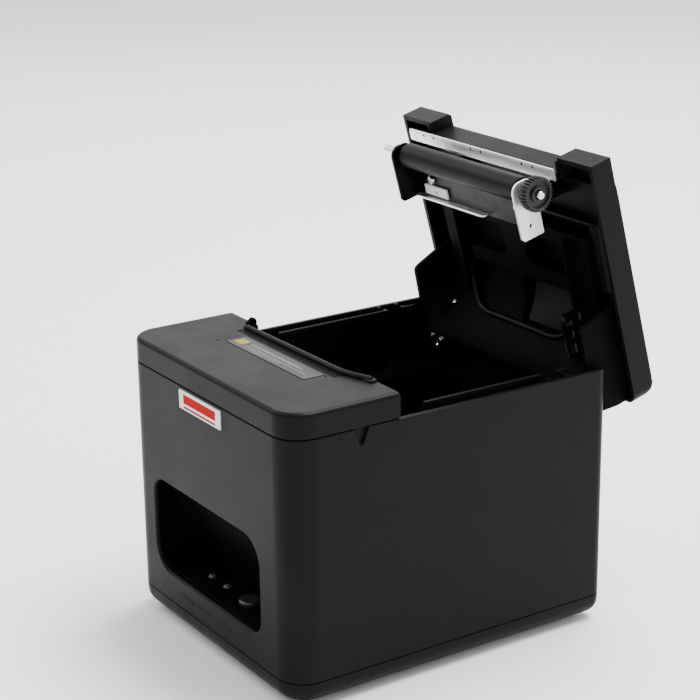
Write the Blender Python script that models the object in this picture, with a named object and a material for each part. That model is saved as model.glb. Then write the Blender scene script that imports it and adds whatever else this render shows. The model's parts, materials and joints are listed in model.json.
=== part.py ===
"""Desktop receipt printer with its lid open, modelled piece by piece.

Units are metres, +Z is up, the front faces -Y and the origin is on the floor
under the middle of the printer's overall box. Everything is laid out with the
lid closed; the lid's pieces hang on an empty at the hinge, which is then turned
open. Depths are given as distances back from the front face (see y_at).
"""
import math

import bmesh
import bpy
from mathutils import Matrix, Vector

MM = 0.001
GAP = 0.3 * MM                 # air left between pieces that touch on the real printer

# ---- driving dimensions -------------------------------------------------------
BODY_WIDTH = 145 * MM
BODY_DEPTH = 174 * MM
FOOT_HEIGHT = 2.5 * MM
BASE_SEAM_Z = 13 * MM          # between the base tray and the body shell
SIDE_TOP_Z = 126.5 * MM        # top edge of the body shell
COVER_TOP_Z = 138.5 * MM       # top of the fixed front cover
COVER_LENGTH = 57 * MM         # front face to the cover's back edge
LID_FRONT = 57.5 * MM          # front of the lid's ears, back from the front face
LID_LENGTH = 122.5 * MM
LID_RIM_Z = 127 * MM
LID_SKIRT = 11.5 * MM          # depth of the lid frame's skirt
LID_CROWN = 2 * MM             # how far the lid's top cover stands above the ears
HINGE_DEPTH = 171 * MM
HINGE_Z = 108.5 * MM
OPEN_ANGLE = 75.0              # degrees from closed to the resting, open stop
WALL = 2.4 * MM
SHEET = 1.2 * MM
FRONT_CORNER = 14 * MM
REAR_CORNER = 6 * MM
LID_BACK_ROUND = 10 * MM
BADGE_PROUD = 0.5 * MM

# The open lid reaches further back than the body, so the box's middle is behind
# the body's middle: it runs from the badge's face to the rounded back edge of the lid.
turn = math.radians(OPEN_ANGLE)
round_dy = LID_FRONT + LID_LENGTH - LID_BACK_ROUND - HINGE_DEPTH
round_dz = LID_RIM_Z + LID_SKIRT + LID_CROWN - LID_BACK_ROUND - HINGE_Z
LID_REACH = HINGE_DEPTH + round_dy * math.cos(turn) + round_dz * math.sin(turn) + LID_BACK_ROUND
FRONT_Y = (BADGE_PROUD - LID_REACH) / 2

# ---- platen, head and drive ---------------------------------------------------
PLATEN_DEPTH = LID_FRONT + 9 * MM
PLATEN_Z = LID_RIM_Z - 18.6 * MM
ROLLER_RADIUS = 6 * MM
ROLLER_HALF = 45 * MM
SHAFT_RADIUS = 2.5 * MM
SHAFT_LEFT = -64 * MM
SHAFT_RIGHT = 58 * MM
BRACKET_HALF = 48 * MM         # outer face of the platen bracket's side plates
GEAR_MODULE = 0.5 * MM
PLATEN_TEETH = 31
IDLER_TEETH = 30
PINION_TEETH = 12
GEAR_X = (51.6 * MM, 56 * MM)
CUTTER_MODULE = 0.8 * MM
CUTTER_TEETH = 12
CUTTER_X = 20 * MM
CUTTER_DEPTH = 30 * MM
BED_Z = 118.6 * MM

# ---- feet, screws and ports ---------------------------------------------------
FOOT_SPOTS = [(x * MM, d * MM) for x in (-57, 57) for d in (15, 159)]
SCREW_SPOTS = [(x * MM, d * MM) for x in (-58, 58) for d in (36, 138)]
BOARD_POSTS = [(x * MM, d * MM) for x in (-50, 50) for d in (70, 148)]
NICHE_X = (-50 * MM, 45 * MM)
NICHE_Z = (27.5 * MM, 73 * MM)
NICHE_FLOOR_DEPTH = 26 * MM
NICHE_TOP_DEPTH = 9 * MM
LIGHT_SPOTS = (-21 * MM, -7 * MM)
BUTTON_X = 13.5 * MM
CONTROL_DEPTH = 13.5 * MM
PORT_Z = 20.2 * MM


def y_at(depth):
    """World Y of a point that lies depth behind the front face."""
    return FRONT_Y + depth


HINGE = Vector((0, y_at(HINGE_DEPTH), HINGE_Z))
PLATEN = Vector((0, y_at(PLATEN_DEPTH), PLATEN_Z))


# ---- materials ----------------------------------------------------------------
def make_material(name, colour, roughness, metallic=0.0):
    material = bpy.data.materials.new(name)
    material.use_nodes = True
    shader = material.node_tree.nodes["Principled BSDF"]
    shader.inputs["Base Color"].default_value = (*colour, 1)
    shader.inputs["Roughness"].default_value = roughness
    shader.inputs["Metallic"].default_value = metallic
    material.diffuse_color = (*colour, 1)
    return material


def make_materials():
    return {
        "casing": make_material("casing", (0.028, 0.027, 0.029), 0.48),
        "inner": make_material("inner", (0.014, 0.013, 0.015), 0.55),
        "steel": make_material("steel", (0.62, 0.62, 0.64), 0.28, 1.0),
        "chrome": make_material("chrome", (0.75, 0.75, 0.77), 0.15, 1.0),
        "rubber": make_material("rubber", (0.02, 0.02, 0.021), 0.6),
        "gear": make_material("gear", (0.03, 0.03, 0.032), 0.45),
        "lens": make_material("lens", (0.75, 0.76, 0.74), 0.2),
        "key": make_material("key", (0.35, 0.35, 0.36), 0.4),
        "plate": make_material("plate", (0.8, 0.8, 0.82), 0.35),
        "label": make_material("label", (0.02, 0.02, 0.022), 0.2),
        "white": make_material("white", (0.82, 0.82, 0.84), 0.4),
        "board": make_material("board", (0.02, 0.13, 0.06), 0.5),
        "ceramic": make_material("ceramic", (0.5, 0.47, 0.42), 0.3),
        "alloy": make_material("alloy", (0.6, 0.6, 0.62), 0.45, 1.0),
    }


# ---- objects, pivots and Booleans ---------------------------------------------
def make_pivot(name, spot, parent=None):
    """An empty at a joint, placed by its spot with the lid closed."""
    empty = bpy.data.objects.new(name, None)
    bpy.context.collection.objects.link(empty)
    empty["spot"] = list(spot)
    if parent:
        empty.parent = parent
        empty.location = spot - Vector(parent["spot"])
    else:
        empty.location = spot
    return empty


def make_object(name, bm, material=None, pivot=None, origin=None):
    """Turn bm, built in closed-lid world coordinates, into a named object."""
    origin = Vector(origin) if origin is not None else Vector((0, 0, 0))
    base = Vector((0, 0, 0))
    if pivot:
        base = Vector(pivot["spot"])
        if origin.length == 0:
            origin = base
    bmesh.ops.translate(bm, verts=bm.verts, vec=-origin)
    bmesh.ops.recalc_face_normals(bm, faces=bm.faces)
    mesh = bpy.data.meshes.new(name)
    bm.to_mesh(mesh)
    bm.free()
    mesh.shade_smooth()
    mesh.set_sharp_from_angle(angle=math.radians(35))
    obj = bpy.data.objects.new(name, mesh)
    bpy.context.collection.objects.link(obj)
    obj.location = origin - base
    if pivot:
        obj.parent = pivot
    if material:
        mesh.materials.append(material)
    return obj


def boolean(obj, bm, operation, pivot=None):
    """Add or cut bm's solid with a Boolean modifier on obj."""
    tool = make_object(obj.name + "_tool", bm, None, pivot)
    tool.hide_render = True
    tool.display_type = 'WIRE'
    modifier = obj.modifiers.new(operation.lower(), 'BOOLEAN')
    modifier.operation = operation
    modifier.object = tool
    modifier.solver = 'EXACT'


def cut(obj, bm, pivot=None):
    boolean(obj, bm, 'DIFFERENCE', pivot)


def add(obj, bm, pivot=None):
    boolean(obj, bm, 'UNION', pivot)


# ---- shapes -------------------------------------------------------------------
# How a point of a 2-D outline and a position along an axis make a 3-D point.
PLACE = {
    'X': lambda point, along: (along, point[0], point[1]),
    'Y': lambda point, along: (point[0], along, point[1]),
    'Z': lambda point, along: (point[0], point[1], along),
}


def rounded_rectangle(u_range, v_range, radii, steps=8):
    """Corner-rounded outline, anticlockwise from the low-u, low-v corner."""
    (u0, u1), (v0, v1) = u_range, v_range
    corners = [(u0, v0, 180), (u1, v0, 270), (u1, v1, 0), (u0, v1, 90)]
    points = []
    for (u, v, start), radius in zip(corners, radii):
        cu = u + radius if u == u0 else u - radius
        cv = v + radius if v == v0 else v - radius
        for step in range(steps + 1):
            angle = math.radians(start + 90 * step / steps)
            points.append((cu + radius * math.cos(angle), cv + radius * math.sin(angle)))
    return points


def body_outline(inset=0.0, least=0.6 * MM, steps=8):
    """The body's plan outline, drawn in by inset."""
    half = BODY_WIDTH / 2 - inset
    front = max(FRONT_CORNER - inset, least)
    rear = max(REAR_CORNER - inset, least)
    depths = (y_at(inset), y_at(BODY_DEPTH - inset))
    return rounded_rectangle((-half, half), depths, (front, front, rear, rear), steps)


def loft(rings):
    """Skin matching rings of points and cap both ends."""
    bm = bmesh.new()
    loops = [[bm.verts.new(point) for point in ring] for ring in rings]
    count = len(loops[0])
    for low, high in zip(loops, loops[1:]):
        for i in range(count):
            j = (i + 1) % count
            bm.faces.new((low[i], low[j], high[j], high[i]))
    bm.faces.new(list(reversed(loops[0])))
    bm.faces.new(loops[-1])
    return bm


def prism(points, axis, low, high):
    """Extrude a 2-D outline along axis: X takes (y, z), Y takes (x, z), Z takes (x, y)."""
    return loft([[PLACE[axis](point, along) for point in points] for along in (low, high)])


def box(x_range, depth_range, z_range):
    (x0, x1), (d0, d1), (z0, z1) = x_range, depth_range, z_range
    return prism([(x0, y_at(d0)), (x1, y_at(d0)), (x1, y_at(d1)), (x0, y_at(d1))], 'Z', z0, z1)


def circle(centre, radius, steps=24, start=0.0, sweep=360.0):
    """Points round a circle, or along an arc when sweep is under a full turn."""
    last = steps if sweep < 360 else steps - 1
    angles = [math.radians(start + sweep * i / steps) for i in range(last + 1)]
    return [(centre[0] + radius * math.cos(a), centre[1] + radius * math.sin(a)) for a in angles]


def rod(axis, centre, radius, low, high, steps=24):
    return prism(circle(centre, radius, steps), axis, low, high)


def tube(axis, centre, outer, inner, low, high, steps=24):
    """A ring with a round hole, skinned as one closed band."""
    bm = bmesh.new()
    rings = []
    for radius, along in ((outer, low), (outer, high), (inner, high), (inner, low)):
        rings.append([bm.verts.new(PLACE[axis](p, along)) for p in circle(centre, radius, steps)])
    for k in range(4):
        a, b = rings[k], rings[(k + 1) % 4]
        for i in range(steps):
            j = (i + 1) % steps
            bm.faces.new((a[i], a[j], b[j], b[i]))
    return bm


def turned(axis, centre, stations, steps=24):
    """A solid of revolution from (position along axis, radius) stations."""
    return loft([[PLACE[axis](p, along) for p in circle(centre, radius, steps)]
                 for along, radius in stations])


def gear_outline(centre, module, teeth, phase=0.0):
    """Straight-flanked teeth a little slimmer than the gaps, so that pairs mesh with play."""
    pitch = module * teeth / 2
    tip, root = pitch + 0.9 * module, pitch - 1.15 * module
    step = 2 * math.pi / teeth
    points = []
    for tooth in range(teeth):
        middle = phase + tooth * step
        for radius, share in ((root, -0.33), (tip, -0.12), (tip, 0.12), (root, 0.33)):
            angle = middle + share * step
            points.append((centre[0] + radius * math.cos(angle), centre[1] + radius * math.sin(angle)))
    return points


# ---- casing -------------------------------------------------------------------
def build_base(mat):
    """Base tray with rounded lower edges, screw counterbores and board posts."""
    edge = 8 * MM
    floor = 2.6 * MM
    low = FOOT_HEIGHT
    rings = []
    for step in range(6):
        angle = math.radians(90 * step / 5)
        rings.append((edge * (1 - math.sin(angle)), low + edge * (1 - math.cos(angle))))
    rings.append((0, BASE_SEAM_Z - GAP / 2))
    rings.append((WALL, BASE_SEAM_Z - GAP / 2))
    rings.append((WALL, low + edge))
    rings.append((edge * 0.6, low + floor + 1.2 * MM))
    rings.append((edge, low + floor))
    bm = loft([[(x, y, z) for x, y in body_outline(inset, steps=6)] for inset, z in rings])
    tray = make_object("base_tray", bm, mat["casing"])
    for x, depth in BOARD_POSTS:
        add(tray, rod('Z', (x, y_at(depth)), 3.5 * MM, low + floor / 2, 17.6 * MM, 12))
    for x, depth in SCREW_SPOTS:
        add(tray, rod('Z', (x, y_at(depth)), 4.6 * MM, low + floor / 2, BASE_SEAM_Z - GAP / 2, 16))
        cut(tray, rod('Z', (x, y_at(depth)), 3.3 * MM, 0, 7 * MM, 16))
        cut(tray, rod('Z', (x, y_at(depth)), 1.8 * MM, 0, 20 * MM, 12))
    for index, (x, depth) in enumerate(FOOT_SPOTS, 1):
        foot = turned('Z', (x, y_at(depth)), [(0, 5.6 * MM), (0.7 * MM, 6.3 * MM),
                                              (FOOT_HEIGHT - GAP, 6.5 * MM)], 20)
        make_object("foot_%d" % index, foot, mat["rubber"])
    for index, (x, depth) in enumerate(SCREW_SPOTS, 1):
        screw = turned('Z', (x, y_at(depth)), [(4.6 * MM, 2.2 * MM), (5.2 * MM, 2.8 * MM),
                                               (6.7 * MM, 2.8 * MM), (6.7 * MM, 1.4 * MM),
                                               (22 * MM, 1.4 * MM), (23 * MM, 0.7 * MM)], 12)
        obj = make_object("base_screw_%d" % index, screw, mat["steel"])
        cut(obj, box((x - 1.9 * MM, x + 1.9 * MM), (depth - 0.3 * MM, depth + 0.3 * MM),
                     (4 * MM, 5.3 * MM)))


def build_body(mat):
    """Body shell: a rounded tube with the control window, notches and rear openings."""
    low, high = BASE_SEAM_Z + GAP / 2, SIDE_TOP_Z
    shell = make_object("body_shell", prism(body_outline(), 'Z', low, high), mat["casing"])
    cut(shell, prism(body_outline(WALL), 'Z', low - 5 * MM, high + 5 * MM))
    for x, depth in SCREW_SPOTS:
        side = math.copysign(1, x)
        inner, outer = x - side * 4 * MM, side * (BODY_WIDTH / 2 - 1 * MM)
        add(shell, box((min(inner, outer), max(inner, outer)), (depth - 4 * MM, depth + 4 * MM),
                       (low, 26 * MM)))
        cut(shell, rod('Z', (x, y_at(depth)), 1.75 * MM, low - 5 * MM, 24 * MM, 12))
    window = rounded_rectangle(NICHE_X, NICHE_Z, (13 * MM, 8 * MM, 13 * MM, 8 * MM))
    cut(shell, prism(window, 'Y', y_at(-5 * MM), y_at(6 * MM)))
    cut(shell, box((-21.3 * MM, 16.3 * MM), (-5 * MM, 0.8 * MM), (115.9 * MM, 125.4 * MM)))
    for side in (-1, 1):
        notch = [(y_at(32.4 * MM), 128 * MM), (y_at(35.8 * MM), 118 * MM),
                 (y_at(37.4 * MM), 118 * MM), (y_at(41.1 * MM), 128 * MM)]
        outer, inner = side * 75 * MM, side * (BODY_WIDTH / 2 - 1.6 * MM)
        cut(shell, prism(notch, 'X', min(outer, inner), max(outer, inner)))
    # The back wall is low under the lid's liner and lower still beside it for the cheeks.
    cut(shell, box((-68.6 * MM, 68.6 * MM), (168 * MM, 180 * MM), (112.5 * MM, 140 * MM)))
    for side in (-1, 1):
        slot = sorted((side * 59 * MM, side * 68.6 * MM))
        cut(shell, box(slot, (168 * MM, 180 * MM), (102 * MM, 120 * MM)))
    cut(shell, box((-60 * MM, 60 * MM), (168 * MM, 180 * MM), (18 * MM, 47 * MM)))


def build_cover(mat):
    """Fixed front cover with the paper exit, its raised lip and the tear bar behind it."""
    half = BODY_WIDTH / 2
    low, high = SIDE_TOP_Z + GAP, COVER_TOP_Z

    def plan(inset):
        radius = FRONT_CORNER - inset
        depths = (y_at(inset), y_at(COVER_LENGTH - inset))
        least = 0.4 * MM
        return rounded_rectangle((inset - half, half - inset), depths, (radius, radius, least, least))

    edge = 1.6 * MM
    rings = [(0, low), (0, high - edge), (0.3 * edge, high - 0.3 * edge), (edge, high)]
    bm = loft([[(x, y, z) for x, y in plan(inset)] for inset, z in rings])
    cover = make_object("front_cover", bm, mat["casing"])
    cut(cover, prism(plan(WALL), 'Z', low - 5 * MM, high - WALL))
    exit_slot = rounded_rectangle((-46 * MM, 50 * MM), (y_at(51 * MM), y_at(80 * MM)),
                                  (1 * MM, 5 * MM, 1 * MM, 1 * MM), 4)
    cut(cover, prism(exit_slot, 'Z', low - 5 * MM, high + 5 * MM))
    lip = [(y_at(49.2 * MM) + p, high - 0.6 * MM + q)
           for p, q in circle((0, 0), 1.6 * MM, 12, 0, 360)]
    add(cover, prism(lip, 'X', -45 * MM, 45 * MM))
    cut(cover, prism([(-33.5 * MM, y_at(31.5 * MM)), (34.5 * MM, y_at(31.5 * MM)),
                      (34.5 * MM, y_at(43 * MM)), (-33.5 * MM, y_at(43 * MM))],
                     'Z', high - 0.5 * MM, high + 5 * MM))
    label = box((-33.2 * MM, 34.2 * MM), (31.8 * MM, 42.7 * MM), (high - 0.2 * MM, high + 0.15 * MM))
    make_object("notice_label", label, mat["label"])
    # Serrated steel edge that the paper is torn on, standing in the exit slot.
    teeth, pitch, start = 40, 2 * MM, -40 * MM
    crest, valley, foot = 137.5 * MM, 136.6 * MM, 129 * MM
    outline = [(start, foot), (start + teeth * pitch, foot), (start + teeth * pitch, valley)]
    for tooth in reversed(range(teeth)):
        outline.append((start + (tooth + 0.5) * pitch, crest))
        outline.append((start + tooth * pitch, valley))
    make_object("tear_bar", prism(outline, 'Y', y_at(51.4 * MM), y_at(52.4 * MM)), mat["steel"])
    badge = rounded_rectangle((-21 * MM, 16 * MM), (116.2 * MM, 125.1 * MM), (0.8 * MM,) * 4, 3)
    make_object("badge_plate", prism(badge, 'Y', y_at(-BADGE_PROUD), y_at(0.5 * MM)), mat["plate"])


def build_niche(mat):
    """Control niche behind the front window, with two lights and the feed button on its floor."""
    face = WALL + GAP
    skin = 1.8 * MM
    (x0, x1), (z0, z1) = NICHE_X, NICHE_Z
    outer = [(y_at(face), z0 - skin), (y_at(NICHE_FLOOR_DEPTH + 2.2 * MM), z0 - skin),
             (y_at(NICHE_FLOOR_DEPTH + 2.2 * MM), z0 + 2 * MM),
             (y_at(NICHE_TOP_DEPTH + 2.2 * MM), z1 + skin), (y_at(face), z1 + skin)]
    niche = make_object("control_niche", prism(outer, 'X', x0 - skin, x1 + skin), mat["inner"])
    floor_z = z0 + 0.8 * MM
    hollow = [(y_at(0), floor_z), (y_at(NICHE_FLOOR_DEPTH - 3 * MM), floor_z)]
    hollow += [(y_at(NICHE_FLOOR_DEPTH - 0.9 * MM), floor_z + 0.8 * MM),
               (y_at(NICHE_FLOOR_DEPTH - 0.4 * MM), floor_z + 2.6 * MM)]
    hollow += [(y_at(NICHE_TOP_DEPTH), z1), (y_at(0), z1)]
    cut(niche, prism(hollow, 'X', x0, x1))
    spot_y = y_at(CONTROL_DEPTH)
    for x in LIGHT_SPOTS:
        cut(niche, rod('Z', (x, spot_y), 2.3 * MM, 20 * MM, 40 * MM, 20))
    cut(niche, rod('Z', (BUTTON_X, spot_y), 5.8 * MM, 20 * MM, 40 * MM, 28))
    for name, x in zip(("status_light_left", "status_light_right"), LIGHT_SPOTS):
        lens = turned('Z', (x, spot_y), [(21.5 * MM, 2 * MM), (floor_z + 0.4 * MM, 2 * MM),
                                         (floor_z + 1 * MM, 1.6 * MM), (floor_z + 1.4 * MM, 0.8 * MM)], 20)
        make_object(name, lens, mat["lens"])
    cap = turned('Z', (BUTTON_X, spot_y), [(23 * MM, 5.2 * MM), (floor_z + 1.5 * MM, 5.2 * MM),
                                           (floor_z + 2.2 * MM, 4.6 * MM)], 28)
    make_object("feed_button", cap, mat["key"], origin=(BUTTON_X, spot_y, floor_z))


# ---- body contents ------------------------------------------------------------
def build_paper_bay(mat):
    """Drop-in paper trough under a deck, with a rail standing along either side."""
    deck = (96 * MM, 98.4 * MM)
    front, back = 72 * MM, 168.5 * MM
    bay = make_object("paper_bay", box((-68.2 * MM, 68.2 * MM), (front, back), deck), mat["inner"])
    roll, centre = 42 * MM, (y_at(120 * MM), 82 * MM)
    outer = [(centre[0] - roll - WALL, deck[0] + 1 * MM)]
    outer += circle(centre, roll + WALL, 20, 180, 179.99)
    outer += [(centre[0] + roll + WALL, deck[0] + 1 * MM)]
    add(bay, prism(outer, 'X', -44.5 * MM, 44.5 * MM))
    inner = [(centre[0] - roll, deck[1] + 5 * MM)]
    inner += circle(centre, roll, 20, 180, 179.99)
    inner += [(centre[0] + roll, deck[1] + 5 * MM)]
    cut(bay, prism(inner, 'X', -42 * MM, 42 * MM))
    rail = (60.2 * MM, 61.8 * MM)
    for side in (-1, 1):
        span = tuple(sorted((side * rail[0], side * rail[1])))
        for d0, d1 in ((77 * MM, 142 * MM), (151 * MM, 158 * MM)):
            add(bay, box(span, (d0, d1), (deck[0] + 1 * MM, LID_RIM_Z)))


def build_rear_panel(mat):
    """Connector panel with its sockets and the power rocker."""
    low, high = 18.3 * MM, 46.7 * MM
    panel = make_object("io_panel", box((-59.7 * MM, 59.7 * MM), (171.6 * MM, 173.6 * MM), (low, high)),
                        mat["inner"])
    sockets = {
        "power_inlet": (43 * MM, 15 * MM, 12 * MM),
        "usb_socket": (17 * MM, 12 * MM, 11 * MM),
        "drawer_socket": (-7 * MM, 12.5 * MM, 11.5 * MM),
        "network_socket": (-30 * MM, 16 * MM, 13.5 * MM),
    }
    for name, (x, width, height) in sockets.items():
        half = width / 2
        cut(panel, box((x - half - GAP, x + half + GAP), (165 * MM, 180 * MM),
                       (PORT_Z - GAP, PORT_Z + height + GAP)))
        body = box((x - half, x + half), (158.5 * MM, 174 * MM), (PORT_Z, PORT_Z + height))
        socket = make_object(name, body, mat["steel" if "usb" in name or "network" in name else "inner"])
        rim = 1.3 * MM
        if name == "power_inlet":
            middle = (x, PORT_Z + height / 2)
            cut(socket, rod('Y', middle, 4.2 * MM, y_at(163 * MM), y_at(180 * MM), 20))
            add(socket, rod('Y', middle, 1.1 * MM, y_at(162 * MM), y_at(172 * MM), 12))
        else:
            cut(socket, box((x - half + rim, x + half - rim), (163 * MM, 180 * MM),
                            (PORT_Z + rim, PORT_Z + height - rim)))
    rocker_x, rocker_z = -50 * MM, 33 * MM
    cut(panel, box((rocker_x - 6.8 * MM, rocker_x + 6.8 * MM), (165 * MM, 180 * MM),
                   (rocker_z - 10 * MM, rocker_z + 10 * MM)))
    frame = make_object("switch_frame", box((rocker_x - 6.5 * MM, rocker_x + 6.5 * MM),
                                            (160 * MM, 174 * MM),
                                            (rocker_z - 9.7 * MM, rocker_z + 9.7 * MM)), mat["inner"])
    cut(frame, box((rocker_x - 5.2 * MM, rocker_x + 5.2 * MM), (163 * MM, 180 * MM),
                   (rocker_z - 8.4 * MM, rocker_z + 8.4 * MM)))
    # The rocker's two faces meet in a shallow valley over its pivot.
    pivot = Vector((rocker_x, y_at(170 * MM), rocker_z))
    face = [(pivot.y - 3.4 * MM, pivot.z - 3 * MM), (pivot.y + 3.2 * MM, pivot.z - 7.4 * MM),
            (pivot.y + 2.9 * MM, pivot.z), (pivot.y + 4.9 * MM, pivot.z + 6.8 * MM),
            (pivot.y - 1.6 * MM, pivot.z + 6.4 * MM)]
    make_object("power_rocker", prism(face, 'X', rocker_x - 4.8 * MM, rocker_x + 4.8 * MM),
                mat["inner"], origin=pivot)


def build_board(mat):
    """Main board on the tray's posts."""
    board = make_object("main_board", box((-53.5 * MM, 53.5 * MM), (60 * MM, 164 * MM),
                                          (17.9 * MM, 19.5 * MM)), mat["board"])
    for x, depth in BOARD_POSTS:
        cut(board, rod('Z', (x, y_at(depth)), 1.6 * MM, 10 * MM, 25 * MM, 12))


def build_mechanism(mat):
    """Print mechanism fixed in the body: side plates, head, cutter bed and motors."""
    # Side plates step down behind the head so that the platen drops in from above.
    def side_plate(low, high):
        outline = [(y_at(36 * MM), 66 * MM), (y_at(70 * MM), 66 * MM), (y_at(70 * MM), 103.4 * MM),
                   (y_at(61.4 * MM), 103.4 * MM), (y_at(61.4 * MM), 118.2 * MM),
                   (y_at(36 * MM), 118.2 * MM)]
        return prism(outline, 'X', low, high)

    frame = make_object("mechanism_frame", side_plate(-52 * MM, -50.5 * MM), mat["steel"])
    add(frame, side_plate(49 * MM, 50.5 * MM))
    add(frame, box((-51 * MM, 50 * MM), (36.4 * MM, 69.4 * MM), (66.6 * MM, 68 * MM)))
    idler, pinion = drive_centres()
    cut(frame, rod('X', idler, 2 * MM, 45 * MM, 55 * MM, 16))
    cut(frame, rod('X', pinion, 2 * MM, 45 * MM, 55 * MM, 16))

    heatsink = box((-43 * MM, 43 * MM), (55.2 * MM, 58.2 * MM), (97 * MM, 116 * MM))
    pivot = Vector((0, y_at(56.7 * MM), 98.6 * MM))
    sink = make_object("head_heatsink", heatsink, mat["alloy"], origin=pivot)
    for end in (-51.6 * MM, 50.1 * MM):
        add(sink, rod('X', (pivot.y, pivot.z), 1.1 * MM, *sorted((math.copysign(42 * MM, end), end)), 12))
    cut(frame, rod('X', (pivot.y, pivot.z), 1.5 * MM, -55 * MM, 55 * MM, 16))
    make_object("thermal_head", box((-42 * MM, 42 * MM), (58.5 * MM, 59.9 * MM), (99 * MM, 114.5 * MM)),
                mat["ceramic"], origin=pivot)
    for name, x in (("head_spring_left", -25 * MM), ("head_spring_right", 25 * MM)):
        make_coil(name, x, 112.5 * MM, 48.5 * MM, 54 * MM, mat["steel"])

    # Spring rail behind the head, and the cutter bed over it.
    add(frame, box((-51 * MM, 50 * MM), (46.6 * MM, 48.2 * MM), (104 * MM, 117 * MM)))
    bed = make_object("cutter_bed", box((-48.6 * MM, 48.6 * MM), (18 * MM, 59.6 * MM),
                                        (BED_Z, BED_Z + SHEET)), mat["steel"])
    cut(bed, rod('Z', (CUTTER_X, y_at(CUTTER_DEPTH)), 1.6 * MM, 110 * MM, 130 * MM, 16))

    make_object("cutter_motor", rod('Z', (CUTTER_X, y_at(CUTTER_DEPTH)), 6.2 * MM, 95 * MM,
                                    BED_Z - GAP, 24), mat["steel"])
    motor = turned('X', pinion, [(27 * MM, 9.6 * MM), (28 * MM, 10.4 * MM), (47.3 * MM, 10.4 * MM),
                                 (48.3 * MM, 9.6 * MM)], 28)
    make_object("feed_motor", motor, mat["steel"])


def make_coil(name, x, z, front, back, material, turns=5):
    """Compression spring along Y, a round wire swept along a helix."""
    wire, radius, around, sides = 0.35 * MM, 2 * MM, 10, 6
    steps = turns * around
    rings = []
    for step in range(steps + 1):
        share = step / steps
        angle = 2 * math.pi * turns * share
        depth = y_at(front + (back - front) * share)
        ring = []
        for side in range(sides):
            spin = 2 * math.pi * side / sides
            reach = radius + wire * math.cos(spin)
            ring.append((x + reach * math.cos(angle), depth + wire * math.sin(spin),
                         z + reach * math.sin(angle)))
        rings.append(ring)
    return make_object(name, loft(rings), material)


def drive_centres():
    """(y, z) of the idler's and the motor pinion's axes in the right-hand gear train."""
    tips = GEAR_MODULE * (PLATEN_TEETH + IDLER_TEETH) / 2 + 1.8 * GEAR_MODULE + GAP
    lean = math.radians(29)
    idler = (PLATEN.y - tips * math.sin(lean), PLATEN.z - tips * math.cos(lean))
    mesh = GEAR_MODULE * (IDLER_TEETH + PINION_TEETH) / 2 + 0.05 * MM
    return idler, (idler[0] - mesh * math.sin(math.radians(8)), idler[1] - mesh * math.cos(math.radians(8)))


def build_gears(mat):
    """Feed train on the right-hand plate and the cutter's rack and pinion."""
    idler, pinion = drive_centres()
    toward = math.atan2(pinion[1] - idler[1], pinion[0] - idler[0])
    half_tooth = math.pi / PINION_TEETH
    gear = prism(gear_outline(idler, GEAR_MODULE, IDLER_TEETH, toward), 'X', *GEAR_X)
    obj = make_object("idler_gear", gear, mat["gear"], origin=(0, *idler))
    add(obj, rod('X', idler, 1.6 * MM, 48.8 * MM, 54 * MM, 16))
    gear = prism(gear_outline(pinion, GEAR_MODULE, PINION_TEETH, toward + math.pi + half_tooth),
                 'X', *GEAR_X)
    obj = make_object("motor_pinion", gear, mat["steel"], origin=(0, *pinion))
    add(obj, rod('X', pinion, 1.2 * MM, 49 * MM, 54 * MM, 12))

    # Cutter pinion, standing on the bed beside the blade's rack.
    centre = (CUTTER_X, y_at(CUTTER_DEPTH))
    low, high = BED_Z + SHEET + GAP, BED_Z + SHEET + 3.2 * MM
    gear = prism(gear_outline(centre, CUTTER_MODULE, CUTTER_TEETH, math.pi), 'Z', low, high)
    obj = make_object("cutter_pinion", gear, mat["gear"], origin=(*centre, low))
    add(obj, rod('Z', centre, 1.2 * MM, BED_Z, high - 1 * MM, 12))

    # Moving blade: a shallow V edge at the back and a rack arm reaching forward.
    pitch_x = CUTTER_X - CUTTER_MODULE * CUTTER_TEETH / 2 - 0.05 * MM
    tooth_pitch = math.pi * CUTTER_MODULE
    edge, middle, shoulder = 58.8 * MM, 56 * MM, 38 * MM
    tip_x, root_x = pitch_x + 0.9 * CUTTER_MODULE, pitch_x - 1.15 * CUTTER_MODULE
    arm_front, arm_side = 16 * MM, pitch_x - 6 * MM
    outline = [(arm_side, y_at(arm_front)), (root_x, y_at(arm_front))]
    rack_teeth = range(-5, 3)
    for tooth in rack_teeth:
        middle_y = centre[1] + (tooth + 0.5) * tooth_pitch
        for x, share in ((root_x, -0.33), (tip_x, -0.12), (tip_x, 0.12), (root_x, 0.33)):
            outline.append((x, middle_y + share * tooth_pitch))
    outline += [(root_x, y_at(shoulder)), (46 * MM, y_at(shoulder)), (46 * MM, y_at(edge)),
                (0, y_at(middle)), (-46 * MM, y_at(edge)), (-46 * MM, y_at(shoulder)),
                (arm_side, y_at(shoulder))]
    make_object("cutter_blade", prism(outline, 'Z', BED_Z + SHEET + GAP, BED_Z + SHEET + GAP + 0.8 * MM),
                mat["steel"])


# ---- lid ----------------------------------------------------------------------
def lid_section(inset, crown, low):
    """The lid's side profile as (y, z), drawn in by inset, with its rounded back edge."""
    front, back = y_at(LID_FRONT) + inset, y_at(LID_FRONT + LID_LENGTH) - inset
    top = LID_RIM_Z + LID_SKIRT + crown - inset
    radius = LID_BACK_ROUND - inset - (LID_CROWN - crown)
    centre = (back - radius, top - radius)
    return [(front, low), (back, low)] + circle(centre, radius, 8, 0, 90) + [(front, top)]


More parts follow.
